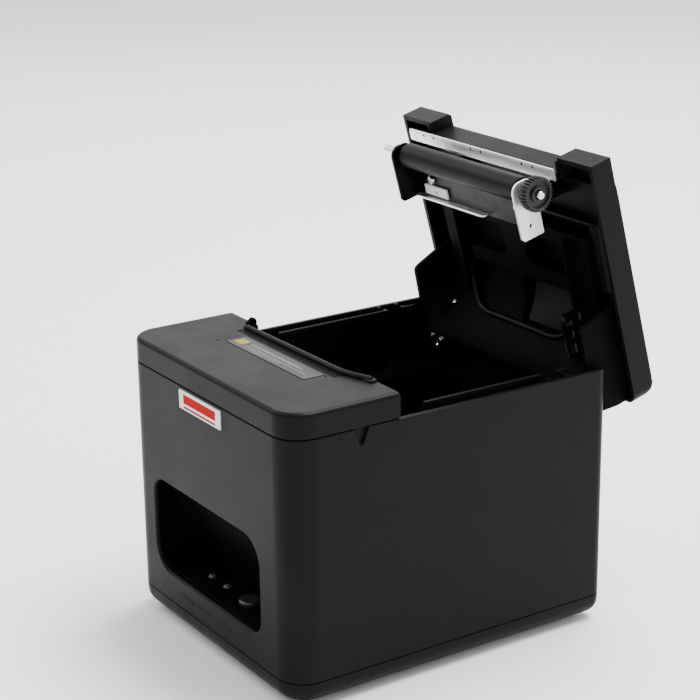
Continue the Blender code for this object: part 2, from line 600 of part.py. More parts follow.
def build_lid(mat, lid):
    """Lid frame with its ears, hinge cheeks and liner, and the crowned top cover."""
    half = BODY_WIDTH / 2
    frame = make_object("lid_frame", prism(lid_section(0, 0, LID_RIM_Z), 'X', -half, half),
                        mat["casing"], lid)
    skirt = 2.2 * MM
    cavity = lid_section(skirt, 0, LID_RIM_Z - 10 * MM)
    step_back = 6 * MM             # the middle of the lid's front is set back from the ears
    ear = 24 * MM
    behind = y_at(LID_FRONT + step_back) + skirt
    cavity = [(max(y, behind), z) for y, z in cavity]
    cut(frame, prism(cavity, 'X', skirt - half, half - skirt), lid)
    for side in (-1, 1):
        span = sorted((side * (half - skirt), side * (half - ear + skirt)))
        cut(frame, box(span, (LID_FRONT + skirt, LID_FRONT + step_back + skirt + 2 * MM),
                       (LID_RIM_Z - 10 * MM, LID_RIM_Z + LID_SKIRT - skirt)), lid)
    cut(frame, box((ear - half, half - ear), (LID_FRONT - 5 * MM, LID_FRONT + step_back),
                   (LID_RIM_Z - 10 * MM, LID_RIM_Z + 20 * MM)), lid)
    # The front wall runs on below the rim to carry the fixed blade.
    add(frame, box((-60 * MM, 50 * MM), (LID_FRONT + step_back + 0.1 * MM,
                                         LID_FRONT + step_back + skirt + 1 * MM),
                   (LID_RIM_Z - 4 * MM, LID_RIM_Z + 5 * MM)), lid)
    # Rear corners rounded in plan.
    for side in (-1, 1):
        corner = [(side * (half + 2 * MM), y_at(LID_FRONT + LID_LENGTH + 2 * MM)),
                  (side * (half + 2 * MM), y_at(LID_FRONT + LID_LENGTH) - REAR_CORNER)]
        centre = (side * (half - REAR_CORNER), y_at(LID_FRONT + LID_LENGTH) - REAR_CORNER)
        arc = circle(centre, REAR_CORNER, 6, 0, 90)
        if side < 0:
            arc = [(2 * centre[0] - x, y) for x, y in arc]
        corner += arc + [(centre[0], y_at(LID_FRONT + LID_LENGTH + 2 * MM))]
        cut(frame, prism(corner, 'Z', LID_RIM_Z - 20 * MM, LID_RIM_Z + 30 * MM), lid)
    # Hinge cheeks reach down inside the body walls to the pins.
    boss = 6 * MM
    rim, back = LID_RIM_Z, y_at(LID_FRONT + LID_LENGTH) - 1 * MM
    cheek = [(y_at(LID_FRONT + 72 * MM), rim + 10 * MM), (y_at(LID_FRONT + 72 * MM), rim - 3 * MM),
             (y_at(LID_FRONT + 79 * MM), rim - 16 * MM), (HINGE.y - boss, HINGE.z - 2 * MM)]
    cheek += circle((HINGE.y, HINGE.z), boss, 12, 180, 180)
    cheek += [(back, rim - 6 * MM), (back, rim + 4 * MM), (y_at(LID_FRONT + 108 * MM), rim + 10 * MM)]
    for side in (-1, 1):
        span = sorted((side * 64 * MM, side * 66.4 * MM))
        add(frame, prism(cheek, 'X', *span), lid)
        cut(frame, rod('X', (HINGE.y, HINGE.z), 2.6 * MM, *sorted((side * 60 * MM, side * 69 * MM)), 20),
            lid)
        # Posts that carry the platen bracket.
        post = (side * 34 * MM, y_at(LID_FRONT + 21 * MM))
        add(frame, rod('Z', post, 4 * MM, LID_RIM_Z - 13.4 * MM, LID_RIM_Z + LID_SKIRT - 1 * MM, 20), lid)
        cut(frame, rod('Z', post, 1.5 * MM, LID_RIM_Z - 20 * MM, LID_RIM_Z, 12), lid)

    # Top cover over the frame, from just behind the ears to half way round the back edge.
    start, back = y_at(LID_FRONT + 14 * MM), y_at(LID_FRONT + LID_LENGTH)
    top = LID_RIM_Z + LID_SKIRT + LID_CROWN
    ramp = [(start, LID_RIM_Z + LID_SKIRT + GAP), (start + 4.5 * MM, top)]
    inner_round = LID_BACK_ROUND - LID_CROWN
    upper_arc = circle((back - LID_BACK_ROUND, top - LID_BACK_ROUND), LID_BACK_ROUND, 6, 45, 45)
    lower_arc = circle((back - inner_round, top - LID_BACK_ROUND), inner_round + GAP, 5, 55, 35)
    make_object("lid_cover", prism(ramp + list(reversed(upper_arc)) + lower_arc, 'X',
                                   0.8 * MM - half, half - 0.8 * MM), mat["casing"], lid)


def build_liner(mat, lid):
    """Curved paper guide inside the lid, ribbed above the bend and turning down behind the roll."""
    start, bend, radius = LID_FRONT + 40 * MM, LID_FRONT + 72 * MM, 34 * MM
    upper = LID_RIM_Z + 8.4 * MM
    thick, rib = 1.8 * MM, 7.4 * MM       # the plate alone, and the plate with its ribs
    outer = [(y_at(start), upper)] + list(reversed(circle((y_at(bend), upper - radius), radius, 14, 0, 90)))
    inner = circle((y_at(bend), upper - radius), radius - thick, 14, 0, 90) + [(y_at(start), upper - thick)]
    # The ribs' lower face follows a tighter arc that runs out at the plate's lower edge.
    ribs = [(y_at(start), upper - thick / 2)]
    ribs += list(reversed(circle((y_at(bend), upper - radius), radius - thick / 2, 14, 0, 90)))
    ribs += circle((y_at(bend + rib - thick), upper - radius), radius - rib, 12, 0, 90)
    ribs += [(y_at(start), upper - rib)]
    obj = make_object("lid_liner", prism(ribs, 'X', -56 * MM, 56 * MM), mat["inner"], lid)
    # Pockets lie either side of a middle rib, above and below a cross rib. The lowest outer
    # corners are wide arcs. The plate closes the left-hand pockets; the right-hand ones go through.
    for side in (-1, 1):
        if side > 0:
            add(obj, prism(outer + inner, 'X', -56 * MM, 56 * MM), lid)
        for middle, near, far, corner in ((8 * MM, 47 * MM, 64 * MM, 2 * MM), (1 * MM, 72 * MM, 95.5 * MM, 16 * MM)):
            radii = [2 * MM, 2 * MM, corner, 2 * MM] if side > 0 else [2 * MM, 2 * MM, 2 * MM, corner]
            pocket = rounded_rectangle(sorted((side * middle, side * 41 * MM)),
                                       (y_at(LID_FRONT + near), y_at(LID_FRONT + far)), radii, 6)
            cut(obj, prism(pocket, 'Z', upper - radius, upper + 5 * MM), lid)
    # Side walls that keep the paper between them.
    for side in (-1, 1):
        wall = [(y_at(start + 2 * MM), upper - thick), (y_at(start + 2 * MM), upper - rib - 2 * MM),
                (y_at(start + 6 * MM), upper - rib - 4 * MM), (y_at(bend + 20 * MM), upper - rib - 4 * MM),
                (y_at(bend + 20 * MM), upper - rib - 0.6 * MM)]
        add(obj, prism(wall, 'X', *sorted((side * 42 * MM, side * 43.6 * MM))), lid)


def build_hinge(mat):
    """Hinge pins through the cheeks and the brackets that hold them to the body."""
    for name, side in (("left", -1), ("right", 1)):
        pin = turned('X', (HINGE.y, HINGE.z), [(side * 59 * MM, 3.4 * MM), (side * 60.3 * MM, 3.4 * MM),
                                               (side * 60.3 * MM, 2.2 * MM), (side * 66.6 * MM, 2.2 * MM)], 20)
        make_object("hinge_pin_" + name, pin, mat["chrome"], origin=HINGE)
        bracket = [(y_at(160 * MM), 98.8 * MM), (y_at(171.2 * MM), 98.8 * MM)]
        bracket += [(y_at(171.2 * MM), 102.6 * MM), (HINGE.y + 4.6 * MM, HINGE.z - 3.4 * MM)]
        bracket += circle((HINGE.y, HINGE.z), 4.6 * MM, 10, 0, 180)
        span = sorted((side * 60.6 * MM, side * 63.4 * MM))
        obj = make_object("hinge_bracket_" + name, prism(bracket, 'X', *span), mat["inner"])
        cut(obj, rod('X', (HINGE.y, HINGE.z), 2.5 * MM, *sorted((side * 58 * MM, side * 65 * MM)), 20))


def build_platen(mat, lid, axle):
    """Platen bracket under the lid, the roller on its shaft, and the fixed blade."""
    rim = LID_RIM_Z
    low, high = rim - 27 * MM, rim - 14.2 * MM
    front, back = y_at(LID_FRONT + 3 * MM), y_at(LID_FRONT + 31.3 * MM)
    nose = 5 * MM
    plate = [(back, low), (back, high), (front + nose, high)]
    plate += circle((front + nose, high - nose), nose, 6, 90, 90)
    plate += circle((front + nose, low + nose), nose, 6, 180, 90)
    inner = BRACKET_HALF - SHEET
    web = box((-BRACKET_HALF + 0.1 * MM, BRACKET_HALF - 0.1 * MM), (LID_FRONT + 17 * MM, LID_FRONT + 31.3 * MM),
              (high - SHEET, high - 0.05 * MM))
    bracket = make_object("platen_bracket", web, mat["steel"], lid)
    for side in (-1, 1):
        add(bracket, prism(plate, 'X', *sorted((side * inner, side * BRACKET_HALF))), lid)
        cut(bracket, rod('X', (PLATEN.y, PLATEN.z), 4.4 * MM,
                         *sorted((side * (inner - 3 * MM), side * (BRACKET_HALF + 3 * MM))), 24), lid)
        cut(bracket, rod('Z', (side * 34 * MM, y_at(LID_FRONT + 21 * MM)), 1.5 * MM,
                         high - 5 * MM, high + 5 * MM, 12), lid)
    # Folded hem along the web's back edge.
    add(bracket, box((-BRACKET_HALF + 0.2 * MM, BRACKET_HALF - 0.2 * MM),
                     (LID_FRONT + 30.1 * MM, LID_FRONT + 31.25 * MM), (high - 4.5 * MM, high - 0.1 * MM)), lid)
    for name, side in (("left", -1), ("right", 1)):
        spot = (side * 34 * MM, y_at(LID_FRONT + 21 * MM))
        screw = turned('Z', spot, [(high - SHEET - 2 * MM, 2 * MM), (high - SHEET - GAP, 2.6 * MM),
                                   (high - SHEET - GAP, 1.15 * MM), (high + 8 * MM, 1.15 * MM)], 16)
        make_object("bracket_screw_" + name, screw, mat["chrome"], lid)

    roller = tube('X', (PLATEN.y, PLATEN.z), ROLLER_RADIUS, SHAFT_RADIUS + GAP, -ROLLER_HALF, ROLLER_HALF - 1 * MM, 32)
    make_object("platen_roller", roller, mat["rubber"], axle)
    shaft = turned('X', (PLATEN.y, PLATEN.z), [(SHAFT_LEFT, 1.4 * MM), (SHAFT_LEFT + 0.6 * MM, 2 * MM),
                                               (-54.4 * MM, 2 * MM), (-54.4 * MM, SHAFT_RADIUS),
                                               (51.3 * MM, SHAFT_RADIUS), (51.3 * MM, 2 * MM),
                                               (SHAFT_RIGHT - 0.5 * MM, 2 * MM), (SHAFT_RIGHT, 1.5 * MM)], 20)
    make_object("platen_shaft", shaft, mat["chrome"], axle)
    gear = prism(gear_outline((PLATEN.y, PLATEN.z), GEAR_MODULE, PLATEN_TEETH), 'X', *GEAR_X)
    obj = make_object("platen_gear", gear, mat["gear"], axle)
    cut(obj, rod('X', (PLATEN.y, PLATEN.z), 2 * MM + GAP, 45 * MM, 60 * MM, 20), axle)
    for name, low_x, high_x in (("left", -53.6 * MM, -46 * MM), ("right", 45.4 * MM, 51 * MM)):
        bush = tube('X', (PLATEN.y, PLATEN.z), 4 * MM, SHAFT_RADIUS + GAP, low_x, high_x, 24)
        make_object("platen_bush_" + name, bush, mat["gear"], lid)

    blade = make_object("fixed_blade", box((-61 * MM, 51 * MM), (LID_FRONT + 3.4 * MM, LID_FRONT + 9.2 * MM),
                                           (rim - 5.3 * MM, rim - 4.3 * MM)), mat["steel"], lid)
    for x in (-49, -41, -11, -3, 28, 36):
        cut(blade, rod('Z', (x * MM, y_at(LID_FRONT + 4.9 * MM)), 0.75 * MM, rim - 8 * MM, rim, 12), lid)
    tab = box((-40 * MM, -22 * MM), (LID_FRONT + 24 * MM, LID_FRONT + 29 * MM),
              (high - SHEET - 1.4 * MM, high - SHEET - GAP))
    obj = make_object("paper_sensor", tab, mat["white"], lid)
    cut(obj, rod('Z', (-31 * MM, y_at(LID_FRONT + 27 * MM)), 0.9 * MM, high - 10 * MM, high, 12), lid)


def main():
    for obj in list(bpy.data.objects):
        bpy.data.objects.remove(obj, do_unlink=True)
    mat = make_materials()
    lid = make_pivot("lid_pivot", HINGE)
    axle = make_pivot("platen_axis", PLATEN, lid)
    build_base(mat)
    build_body(mat)
    build_cover(mat)
    build_niche(mat)
    build_paper_bay(mat)
    build_rear_panel(mat)
    build_board(mat)
    build_mechanism(mat)
    build_gears(mat)
    build_lid(mat, lid)
    build_liner(mat, lid)
    build_hinge(mat)
    build_platen(mat, lid, axle)
    lid.rotation_euler = (-math.radians(OPEN_ANGLE), 0, 0)
    bpy.context.view_layer.update()


main()
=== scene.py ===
"""Looks for the desktop receipt printer: studio, materials and the detailed visible pieces.

Units are metres in the frame's own axes: +Z is up and the printer's front faces -Y.
Lid pieces are laid out with the lid closed and then turned open about the lid's hinge.
"""
import json
import math

import bmesh
import bpy
from mathutils import Matrix, Vector


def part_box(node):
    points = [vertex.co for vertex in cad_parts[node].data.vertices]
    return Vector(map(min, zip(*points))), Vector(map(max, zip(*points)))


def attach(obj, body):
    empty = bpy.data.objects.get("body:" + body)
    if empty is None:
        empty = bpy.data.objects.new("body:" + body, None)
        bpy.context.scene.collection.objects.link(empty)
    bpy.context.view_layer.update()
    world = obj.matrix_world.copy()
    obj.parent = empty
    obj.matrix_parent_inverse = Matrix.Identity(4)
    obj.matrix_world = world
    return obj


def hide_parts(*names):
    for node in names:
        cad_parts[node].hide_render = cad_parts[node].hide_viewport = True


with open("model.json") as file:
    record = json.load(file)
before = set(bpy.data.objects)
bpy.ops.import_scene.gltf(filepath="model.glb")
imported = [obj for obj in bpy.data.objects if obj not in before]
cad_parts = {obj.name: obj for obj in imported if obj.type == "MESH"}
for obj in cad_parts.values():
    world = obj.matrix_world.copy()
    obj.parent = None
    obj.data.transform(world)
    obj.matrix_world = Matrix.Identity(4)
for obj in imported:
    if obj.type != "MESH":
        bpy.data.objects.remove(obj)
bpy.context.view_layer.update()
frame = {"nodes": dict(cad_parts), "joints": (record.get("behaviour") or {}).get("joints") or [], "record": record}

MM = 0.001
NODES = frame["nodes"]
JOINTS = {joint["name"]: joint for joint in frame["joints"]}
NODE_BODY = {node: body for body, nodes in frame["record"]["behaviour"]["bodies"].items() for node in nodes}
NODE_SLOT = {row["node"]: row["material_slot"] for row in frame["record"]["subparts"]}

# ---- main dimensions, read from the frame ----
SHELL_LOW, SHELL_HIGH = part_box("body_shell")
COVER_LOW, COVER_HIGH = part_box("front_cover")
FRONT, BACK = SHELL_LOW.y, SHELL_HIGH.y
HALF = SHELL_HIGH.x
SIDES = ((-1, "left"), (1, "right"))
HALF_TURN = 179.99                     # degrees, just short of a half circle
WALL = 2.4 * MM                        # thickness of the casing's walls
HINGE = Vector(JOINTS["lid_hinge"]["pos_m"])
LID_BODIES = ("lid", "platen")         # bodies that turn with the lid
OPEN_ANGLE = math.radians(JOINTS["lid_hinge"]["range_deg"][1])
OPEN = Matrix.Translation(HINGE) @ Matrix.Rotation(-OPEN_ANGLE, 4, 'X') @ Matrix.Translation(-HINGE)


def at(depth):
    """World Y of a point that lies depth behind the front face."""
    return FRONT + depth


# ---- camera, light and floor ----
CAMERA_AIM = Vector((0, at(78.7 * MM), 134 * MM))
CAMERA_DISTANCE = 0.905
CAMERA_AZIMUTH, CAMERA_ELEVATION, CAMERA_ROLL = 56.74, 18.23, -0.69
CAMERA_LENS = 100.4


def make_camera():
    azimuth, elevation = math.radians(CAMERA_AZIMUTH), math.radians(CAMERA_ELEVATION)
    back = Vector((math.sin(azimuth) * math.cos(elevation),
                   -math.cos(azimuth) * math.cos(elevation), math.sin(elevation)))
    right = Vector((0, 0, 1)).cross(back).normalized()
    turn = Matrix((right, back.cross(right), back)).transposed()
    turn = turn @ Matrix.Rotation(math.radians(CAMERA_ROLL), 3, 'Z')
    data = bpy.data.cameras.new("camera")
    data.lens = CAMERA_LENS
    data.clip_start = 0.01
    camera = bpy.data.objects.new("camera", data)
    camera.matrix_world = Matrix.Translation(CAMERA_AIM + back * CAMERA_DISTANCE) @ turn.to_4x4()
    bpy.context.scene.collection.objects.link(camera)
    bpy.context.scene.camera = camera


def area_light(name, spot, size, power):
    """A rectangular light that faces the middle of the printer."""
    data = bpy.data.lights.new(name, 'AREA')
    data.shape = 'RECTANGLE'
    data.size, data.size_y = size
    data.energy = power
    light = bpy.data.objects.new(name, data)
    light.location = spot
    light.rotation_euler = (Vector((0, 0, 0.1)) - Vector(spot)).to_track_quat('-Z', 'Y').to_euler()
    bpy.context.scene.collection.objects.link(light)


def make_lights():
    world = bpy.data.worlds.new("studio")
    bpy.context.scene.world = world
    world.use_nodes = True
    background = world.node_tree.nodes["Background"]
    background.inputs["Color"].default_value = (1, 1, 1, 1)
    background.inputs["Strength"].default_value = 1.1
    area_light("key_light", (-1.3, -0.8, 1.5), (1.2, 1.2), 17)
    area_light("top_light", (0.1, 0.6, 1.7), (1.4, 0.8), 72)
    area_light("side_light", (1.2, 1.3, 0.7), (0.8, 1.2), 3)
    area_light("back_light", (-1.25, 0.85, 0.75), (1.4, 0.6), 4.5)


def make_floor():
    """A wide pale floor, which is staging and not part of the printer."""
    bm = bmesh.new()
    bmesh.ops.create_grid(bm, x_segments=8, y_segments=8, size=6)
    floor = link_mesh("floor", bm)
    material, _, _, shader = new_material("studio_floor")
    shader.inputs["Base Color"].default_value = (0.93, 0.93, 0.93, 1)
    shader.inputs["Roughness"].default_value = 0.7
    shader.inputs["Specular IOR Level"].default_value = 0.2
    floor.data.materials.append(material)


# ---- materials ----
def new_material(name):
    """A material with its node list, link list and Principled shader."""
    material = bpy.data.materials.new(name)
    material.use_nodes = True
    tree = material.node_tree
    return material, tree.nodes, tree.links, tree.nodes["Principled BSDF"]


def grain(nodes, links, scale, detail, stretch=(1, 1, 1)):
    """Noise in the piece's own coordinates; scale is the grain's size in metres."""
    where = nodes.new("ShaderNodeTexCoord")
    mapping = nodes.new("ShaderNodeMapping")
    mapping.inputs["Scale"].default_value = stretch
    noise = nodes.new("ShaderNodeTexNoise")
    noise.inputs["Scale"].default_value = 1 / scale
    noise.inputs["Detail"].default_value = detail
    links.new(where.outputs["Object"], mapping.inputs["Vector"])
    links.new(mapping.outputs["Vector"], noise.inputs["Vector"])
    return noise.outputs["Fac"]


def spread(nodes, links, value, low, high):
    """Spread the middle of a noise value, 0.3 to 0.7, over a range."""
    node = nodes.new("ShaderNodeMapRange")
    node.inputs["From Min"].default_value = 0.3
    node.inputs["From Max"].default_value = 0.7
    node.inputs["To Min"].default_value = low
    node.inputs["To Max"].default_value = high
    links.new(value, node.inputs["Value"])
    return node.outputs["Result"]


def tint(nodes, links, value, dark, light):
    """Mix two colours by a 0 to 1 value."""
    node = nodes.new("ShaderNodeMix")
    node.data_type = 'RGBA'
    node.inputs["A"].default_value = (*dark, 1)
    node.inputs["B"].default_value = (*light, 1)
    links.new(value, node.inputs["Factor"])
    return node.outputs["Result"]


def bump(nodes, links, shader, value, depth, strength):
    node = nodes.new("ShaderNodeBump")
    node.inputs["Distance"].default_value = depth
    node.inputs["Strength"].default_value = strength
    links.new(value, node.inputs["Height"])
    links.new(node.outputs["Normal"], shader.inputs["Normal"])


def moulded(name, dark, light, roughness, texture, depth, shine=0.5):
    """Moulded plastic: spark-eroded grain, cloudy gloss and faint colour variation."""
    material, nodes, links, shader = new_material(name)
    shader.inputs["Specular IOR Level"].default_value = shine
    fine = grain(nodes, links, texture, 2)
    cloud = grain(nodes, links, 18 * MM, 4)
    links.new(tint(nodes, links, spread(nodes, links, cloud, 0, 1), dark, light), shader.inputs["Base Color"])
    links.new(spread(nodes, links, cloud, roughness - 0.04, roughness + 0.04), shader.inputs["Roughness"])
    bump(nodes, links, shader, fine, depth, 0.6)
    return material


def ink(name, dark, light, roughness, shine):
    return moulded(name, dark, light, roughness, 0.3 * MM, 0.003 * MM, shine)


def rolled_metal(name, dark, light, roughness, stretch, scratch=0.25 * MM, depth=0.002 * MM):
    """Sheet or turned metal with fine lines along one direction and cloudy gloss."""
    material, nodes, links, shader = new_material(name)
    lines = grain(nodes, links, scratch, 3, stretch)
    cloud = grain(nodes, links, 9 * MM, 4)
    shader.inputs["Metallic"].default_value = 1
    links.new(tint(nodes, links, spread(nodes, links, lines, 0, 1), dark, light), shader.inputs["Base Color"])
    links.new(spread(nodes, links, cloud, roughness - 0.07, roughness + 0.09), shader.inputs["Roughness"])
    bump(nodes, links, shader, lines, depth, 0.5)
    return material


def make_materials():
    """One material for each slot, and some that a piece asks for by name."""
    ribbed = (1, 12, 12)
    sheet = (1, 10, 10)
    return {
        # Slots.
        "casing": moulded("charcoal_abs", (0.0042, 0.003, 0.0044), (0.0056, 0.0042, 0.0058), 0.4,
                          0.35 * MM, 0.012 * MM, 0.07),
        # The inner slot's plastic is the casing's ABS made darker: painted shade for the niche, the bay, the lid's
        # inside and the other inner parts.
        "inner": moulded("abs_painted_shade", (0.0016, 0.0015, 0.0016), (0.0024, 0.0023, 0.0024), 0.6,
                         0.4 * MM, 0.012 * MM, 0.03),
        "steel": rolled_metal("zinc_plated_steel", (0.5, 0.5, 0.52), (0.74, 0.74, 0.76), 0.26, ribbed),
        "chrome": rolled_metal("ground_steel", (0.66, 0.66, 0.68), (0.86, 0.86, 0.87), 0.16, ribbed,
                               0.2 * MM, 0.002 * MM),
        "alloy": rolled_metal("plain_aluminium", (0.52, 0.52, 0.54), (0.66, 0.66, 0.68), 0.4, ribbed),
        "rubber": moulded("black_rubber", (0.006, 0.006, 0.0062), (0.009, 0.009, 0.0092), 0.62,
                          0.2 * MM, 0.03 * MM, 0.2),
        "gear": moulded("black_acetal", (0.007, 0.007, 0.0075), (0.01, 0.01, 0.0105), 0.36,
                        0.3 * MM, 0.008 * MM, 0.3),
        "lens": moulded("milky_light_pipe", (0.045, 0.045, 0.044), (0.055, 0.055, 0.054), 0.16,
                        0.5 * MM, 0.004 * MM),
        "key": moulded("grey_key", (0.015, 0.015, 0.0155), (0.02, 0.02, 0.0206), 0.3, 0.3 * MM, 0.008 * MM),
        "plate": moulded("pale_badge", (0.62, 0.62, 0.64), (0.7, 0.7, 0.72), 0.34, 0.3 * MM, 0.004 * MM),
        "label": moulded("black_sticker", (0.003, 0.003, 0.0033), (0.0045, 0.0045, 0.0048), 0.3,
                         0.4 * MM, 0.003 * MM, 0.15),
        "white": moulded("white_carrier", (0.66, 0.66, 0.67), (0.74, 0.74, 0.75), 0.4,
                         0.4 * MM, 0.006 * MM),
        "board": moulded("green_board", (0.01, 0.075, 0.035), (0.014, 0.095, 0.045), 0.42,
                         0.5 * MM, 0.006 * MM),
        "ceramic": moulded("glazed_ceramic", (0.4, 0.37, 0.32), (0.46, 0.43, 0.38), 0.24,
                           0.4 * MM, 0.003 * MM),
        # Asked for by name.
        "print": ink("pale_print", (0.1, 0.1, 0.1), (0.13, 0.13, 0.13), 0.4, 0.2),
        "amber_print": ink("amber_print", (0.2, 0.14, 0.004), (0.24, 0.17, 0.006), 0.4, 0.2),
        "red_print": ink("red_print", (0.32, 0.001, 0.002), (0.38, 0.002, 0.003), 0.5, 0.03),
        "gold": rolled_metal("gold_contacts", (0.7, 0.5, 0.2), (0.85, 0.62, 0.28), 0.25, (12, 1, 12)),
        # Two copies of the bracket's sheet steel: a lighter one with a painted highlight, also used on the fixed
        # blade, and a darker one with painted shade.
        "steel_painted_highlight": rolled_metal("sheet_steel_painted_highlight", (0.84, 0.84, 0.85), (0.92, 0.92, 0.93), 0.45,
                                     sheet, 1.2 * MM, 0.0002 * MM),
        "steel_painted_shade": rolled_metal("sheet_steel_painted_shade", (0.013, 0.013, 0.014), (0.024, 0.024, 0.025), 0.36,
                                   sheet, 1.2 * MM, 0.0005 * MM),
        "roller": moulded("ground_rubber", (0.0035, 0.0033, 0.0036), (0.005, 0.0048, 0.0051), 0.45,
                          0.15 * MM, 0.008 * MM, 0.1),
        "dark_print": ink("dark_print", (0.0022, 0.0021, 0.0023), (0.003, 0.0029, 0.0031), 0.55, 0.1),
    }


# ---- shapes ----
# Where a 2-D outline's point goes when the outline stands across an axis.
PLACE = {
    'X': lambda point, along: (along, point[0], point[1]),
    'Y': lambda point, along: (point[0], along, point[1]),
    'Z': lambda point, along: (point[0], point[1], along),
}


def arc(centre, radius, steps, start=0.0, sweep=360.0):
    """Points along an arc, or once round a full circle."""
    last = steps if sweep < 360 else steps - 1
    angles = [math.radians(start + sweep * i / steps) for i in range(last + 1)]
    return [(centre[0] + radius * math.cos(a), centre[1] + radius * math.sin(a)) for a in angles]


def rounded(u_range, v_range, radii, steps):
    """Outline with one radius, or one for each corner, anticlockwise from the low-u, low-v corner."""
    (u0, u1), (v0, v1) = u_range, v_range
    if isinstance(radii, float):
        radii = [radii] * 4
    corners = [(u0, v0, 180), (u1, v0, 270), (u1, v1, 0), (u0, v1, 90)]
    points = []
    for (u, v, start), radius in zip(corners, radii):
        centre = (u + radius if u == u0 else u - radius, v + radius if v == v0 else v - radius)
        points += arc(centre, radius, steps, start, 90)
    return points


def loft(rings, closed=False):
    """Skin matching rings of points; the ends are capped, or joined when closed."""
    bm = bmesh.new()
    loops = [[bm.verts.new(point) for point in ring] for ring in rings]
    count = len(loops[0])
    pairs = list(zip(loops, loops[1:]))
    if closed:
        pairs.append((loops[-1], loops[0]))
    for low, high in pairs:
        for i in range(count):
            j = (i + 1) % count
            bm.faces.new((low[i], low[j], high[j], high[i]))
    if not closed:
        bm.faces.new(list(reversed(loops[0])))
        bm.faces.new(loops[-1])
    bmesh.ops.recalc_face_normals(bm, faces=bm.faces)
    return bm


def prism(points, axis, low, high):
    """Extrude a 2-D outline along an axis."""
    return loft([[PLACE[axis](point, along) for point in points] for along in (low, high)])


def block(x_range, depth_range, z_range):
    """A box; depth_range is measured back from the front face."""
    (x0, x1), (d0, d1), z_pair = x_range, depth_range, z_range
    return prism([(x0, at(d0)), (x1, at(d0)), (x1, at(d1)), (x0, at(d1))], 'Z', *z_pair)


def both(side, low, high):
    """The X range from low to high on the right (side 1), or its mirror image (side -1)."""
    return sorted((side * low, side * high))


def rod(axis, centre, radius, low, high, steps=32):
    return prism(arc(centre, radius, steps), axis, low, high)


def turned(axis, centre, stations, steps, closed=False):
    """A solid of revolution from (position, radius) stations."""
    rings = [[PLACE[axis](point, along) for point in arc(centre, radius, steps)]
             for along, radius in stations]
    return loft(rings, closed)


def sweep(points, radius, sides, ends):
    """A round bar along 3-D points, narrowing at both ends to ends times its radius."""
    rings = []
    count = len(points)
    for index, point in enumerate(points):
        before, after = points[max(index - 1, 0)], points[min(index + 1, count - 1)]
        along = (after - before).normalized()
        side = along.cross(Vector((0, 0, 1)))
        if side.length < 0.01:
            side = along.cross(Vector((0, 1, 0)))
        side.normalize()
        up = side.cross(along)
        size = radius * (ends if index in (0, count - 1) else 1)
        rings.append([point + side * size * math.cos(a) + up * size * math.sin(a)
                      for a in [2 * math.pi * k / sides for k in range(sides)]])
    return loft(rings)


def smooth_path(points, steps=6):
    """Catmull-Rom points through the given ones."""
    path = []
    for index in range(len(points) - 1):
        p1, p2 = points[index], points[index + 1]
        p0 = points[index - 1] if index else p1 * 2 - p2
        p3 = points[index + 2] if index + 2 < len(points) else p2 * 2 - p1
        for step in range(steps):
            t = step / steps
            path.append(0.5 * ((2 * p1) + (p2 - p0) * t + (2 * p0 - 5 * p1 + 4 * p2 - p3) * t * t
                               + (3 * p1 - p0 - 3 * p2 + p3) * t ** 3))
    path.append(points[-1])
    return path


def cut(steps, bm):
    """Note a solid to be cut away by carve()."""
    steps.append(("cut", bm))


def add(steps, bm):
    """Note a solid to be joined on by carve()."""
    steps.append(("add", bm))


def merge(*parts):
    """Put several closed solids that don't touch into one mesh."""
    whole = bmesh.new()
    for part in parts:
        mesh = bpy.data.meshes.new("part")
        part.to_mesh(mesh)
        part.free()
        whole.from_mesh(mesh)
        bpy.data.meshes.remove(mesh)
    return whole


# ---- pieces ----
def link_mesh(name, bm, body=None):
    """Put a solid into the scene; one of the lid's bodies is turned open first."""
    if body in LID_BODIES:
        bmesh.ops.transform(bm, matrix=OPEN, verts=bm.verts)
    mesh = bpy.data.meshes.new(name)
    bm.to_mesh(mesh)
    bm.free()
    obj = bpy.data.objects.new(name, mesh)
    bpy.context.scene.collection.objects.link(obj)
    return obj


def settle(obj):
    """Apply every modifier on obj."""
    bpy.context.view_layer.update()
    ready = obj.evaluated_get(bpy.context.evaluated_depsgraph_get())
    mesh = bpy.data.meshes.new_from_object(ready)
    obj.modifiers.clear()
    old = obj.data
    obj.data = mesh
    bpy.data.meshes.remove(old)


def soften(obj, width, segments, limit):
    """Round every edge sharper than limit degrees, and shade with face-weighted normals."""
    if width:
        bm = bmesh.new()
        bm.from_mesh(obj.data)
        bmesh.ops.remove_doubles(bm, verts=bm.verts, dist=0.004 * MM)
        bmesh.ops.dissolve_limit(bm, angle_limit=math.radians(0.6), verts=bm.verts, edges=bm.edges)
        bm.to_mesh(obj.data)
        bm.free()
        bevel = obj.modifiers.new("edges", 'BEVEL')
        bevel.width = width
        bevel.segments = segments
        bevel.limit_method = 'ANGLE'
        bevel.angle_limit = math.radians(limit)
        bevel.use_clamp_overlap = True
        bevel.miter_outer = 'MITER_ARC'
    obj.data.shade_smooth()
    weighted = obj.modifiers.new("normals", 'WEIGHTED_NORMAL')
    weighted.keep_sharp = True
    settle(obj)


DRAWN = set()                          # CAD nodes that a piece already stands for


def finish_piece(obj, material, body, nodes, bevel=0.25 * MM, segments=2, limit=32):
    """Give a piece its material and soft edges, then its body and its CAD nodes."""
    obj.data.materials.clear()
    obj.data.materials.append(material)
    soften(obj, bevel, segments, limit)
    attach(obj, body)
    if nodes:
        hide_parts(*nodes)
        DRAWN.update(nodes)


def carve(obj, steps, body):
    """Run ('cut' or 'add', solid) steps on obj with exact Booleans."""
    for kind, bm in steps:
        tool = link_mesh("tool", bm, body)
        modifier = obj.modifiers.new(kind, 'BOOLEAN')
        modifier.operation = 'DIFFERENCE' if kind == "cut" else 'UNION'
        modifier.object = tool
        modifier.solver = 'EXACT'
        settle(obj)
        bpy.data.objects.remove(tool, do_unlink=True)


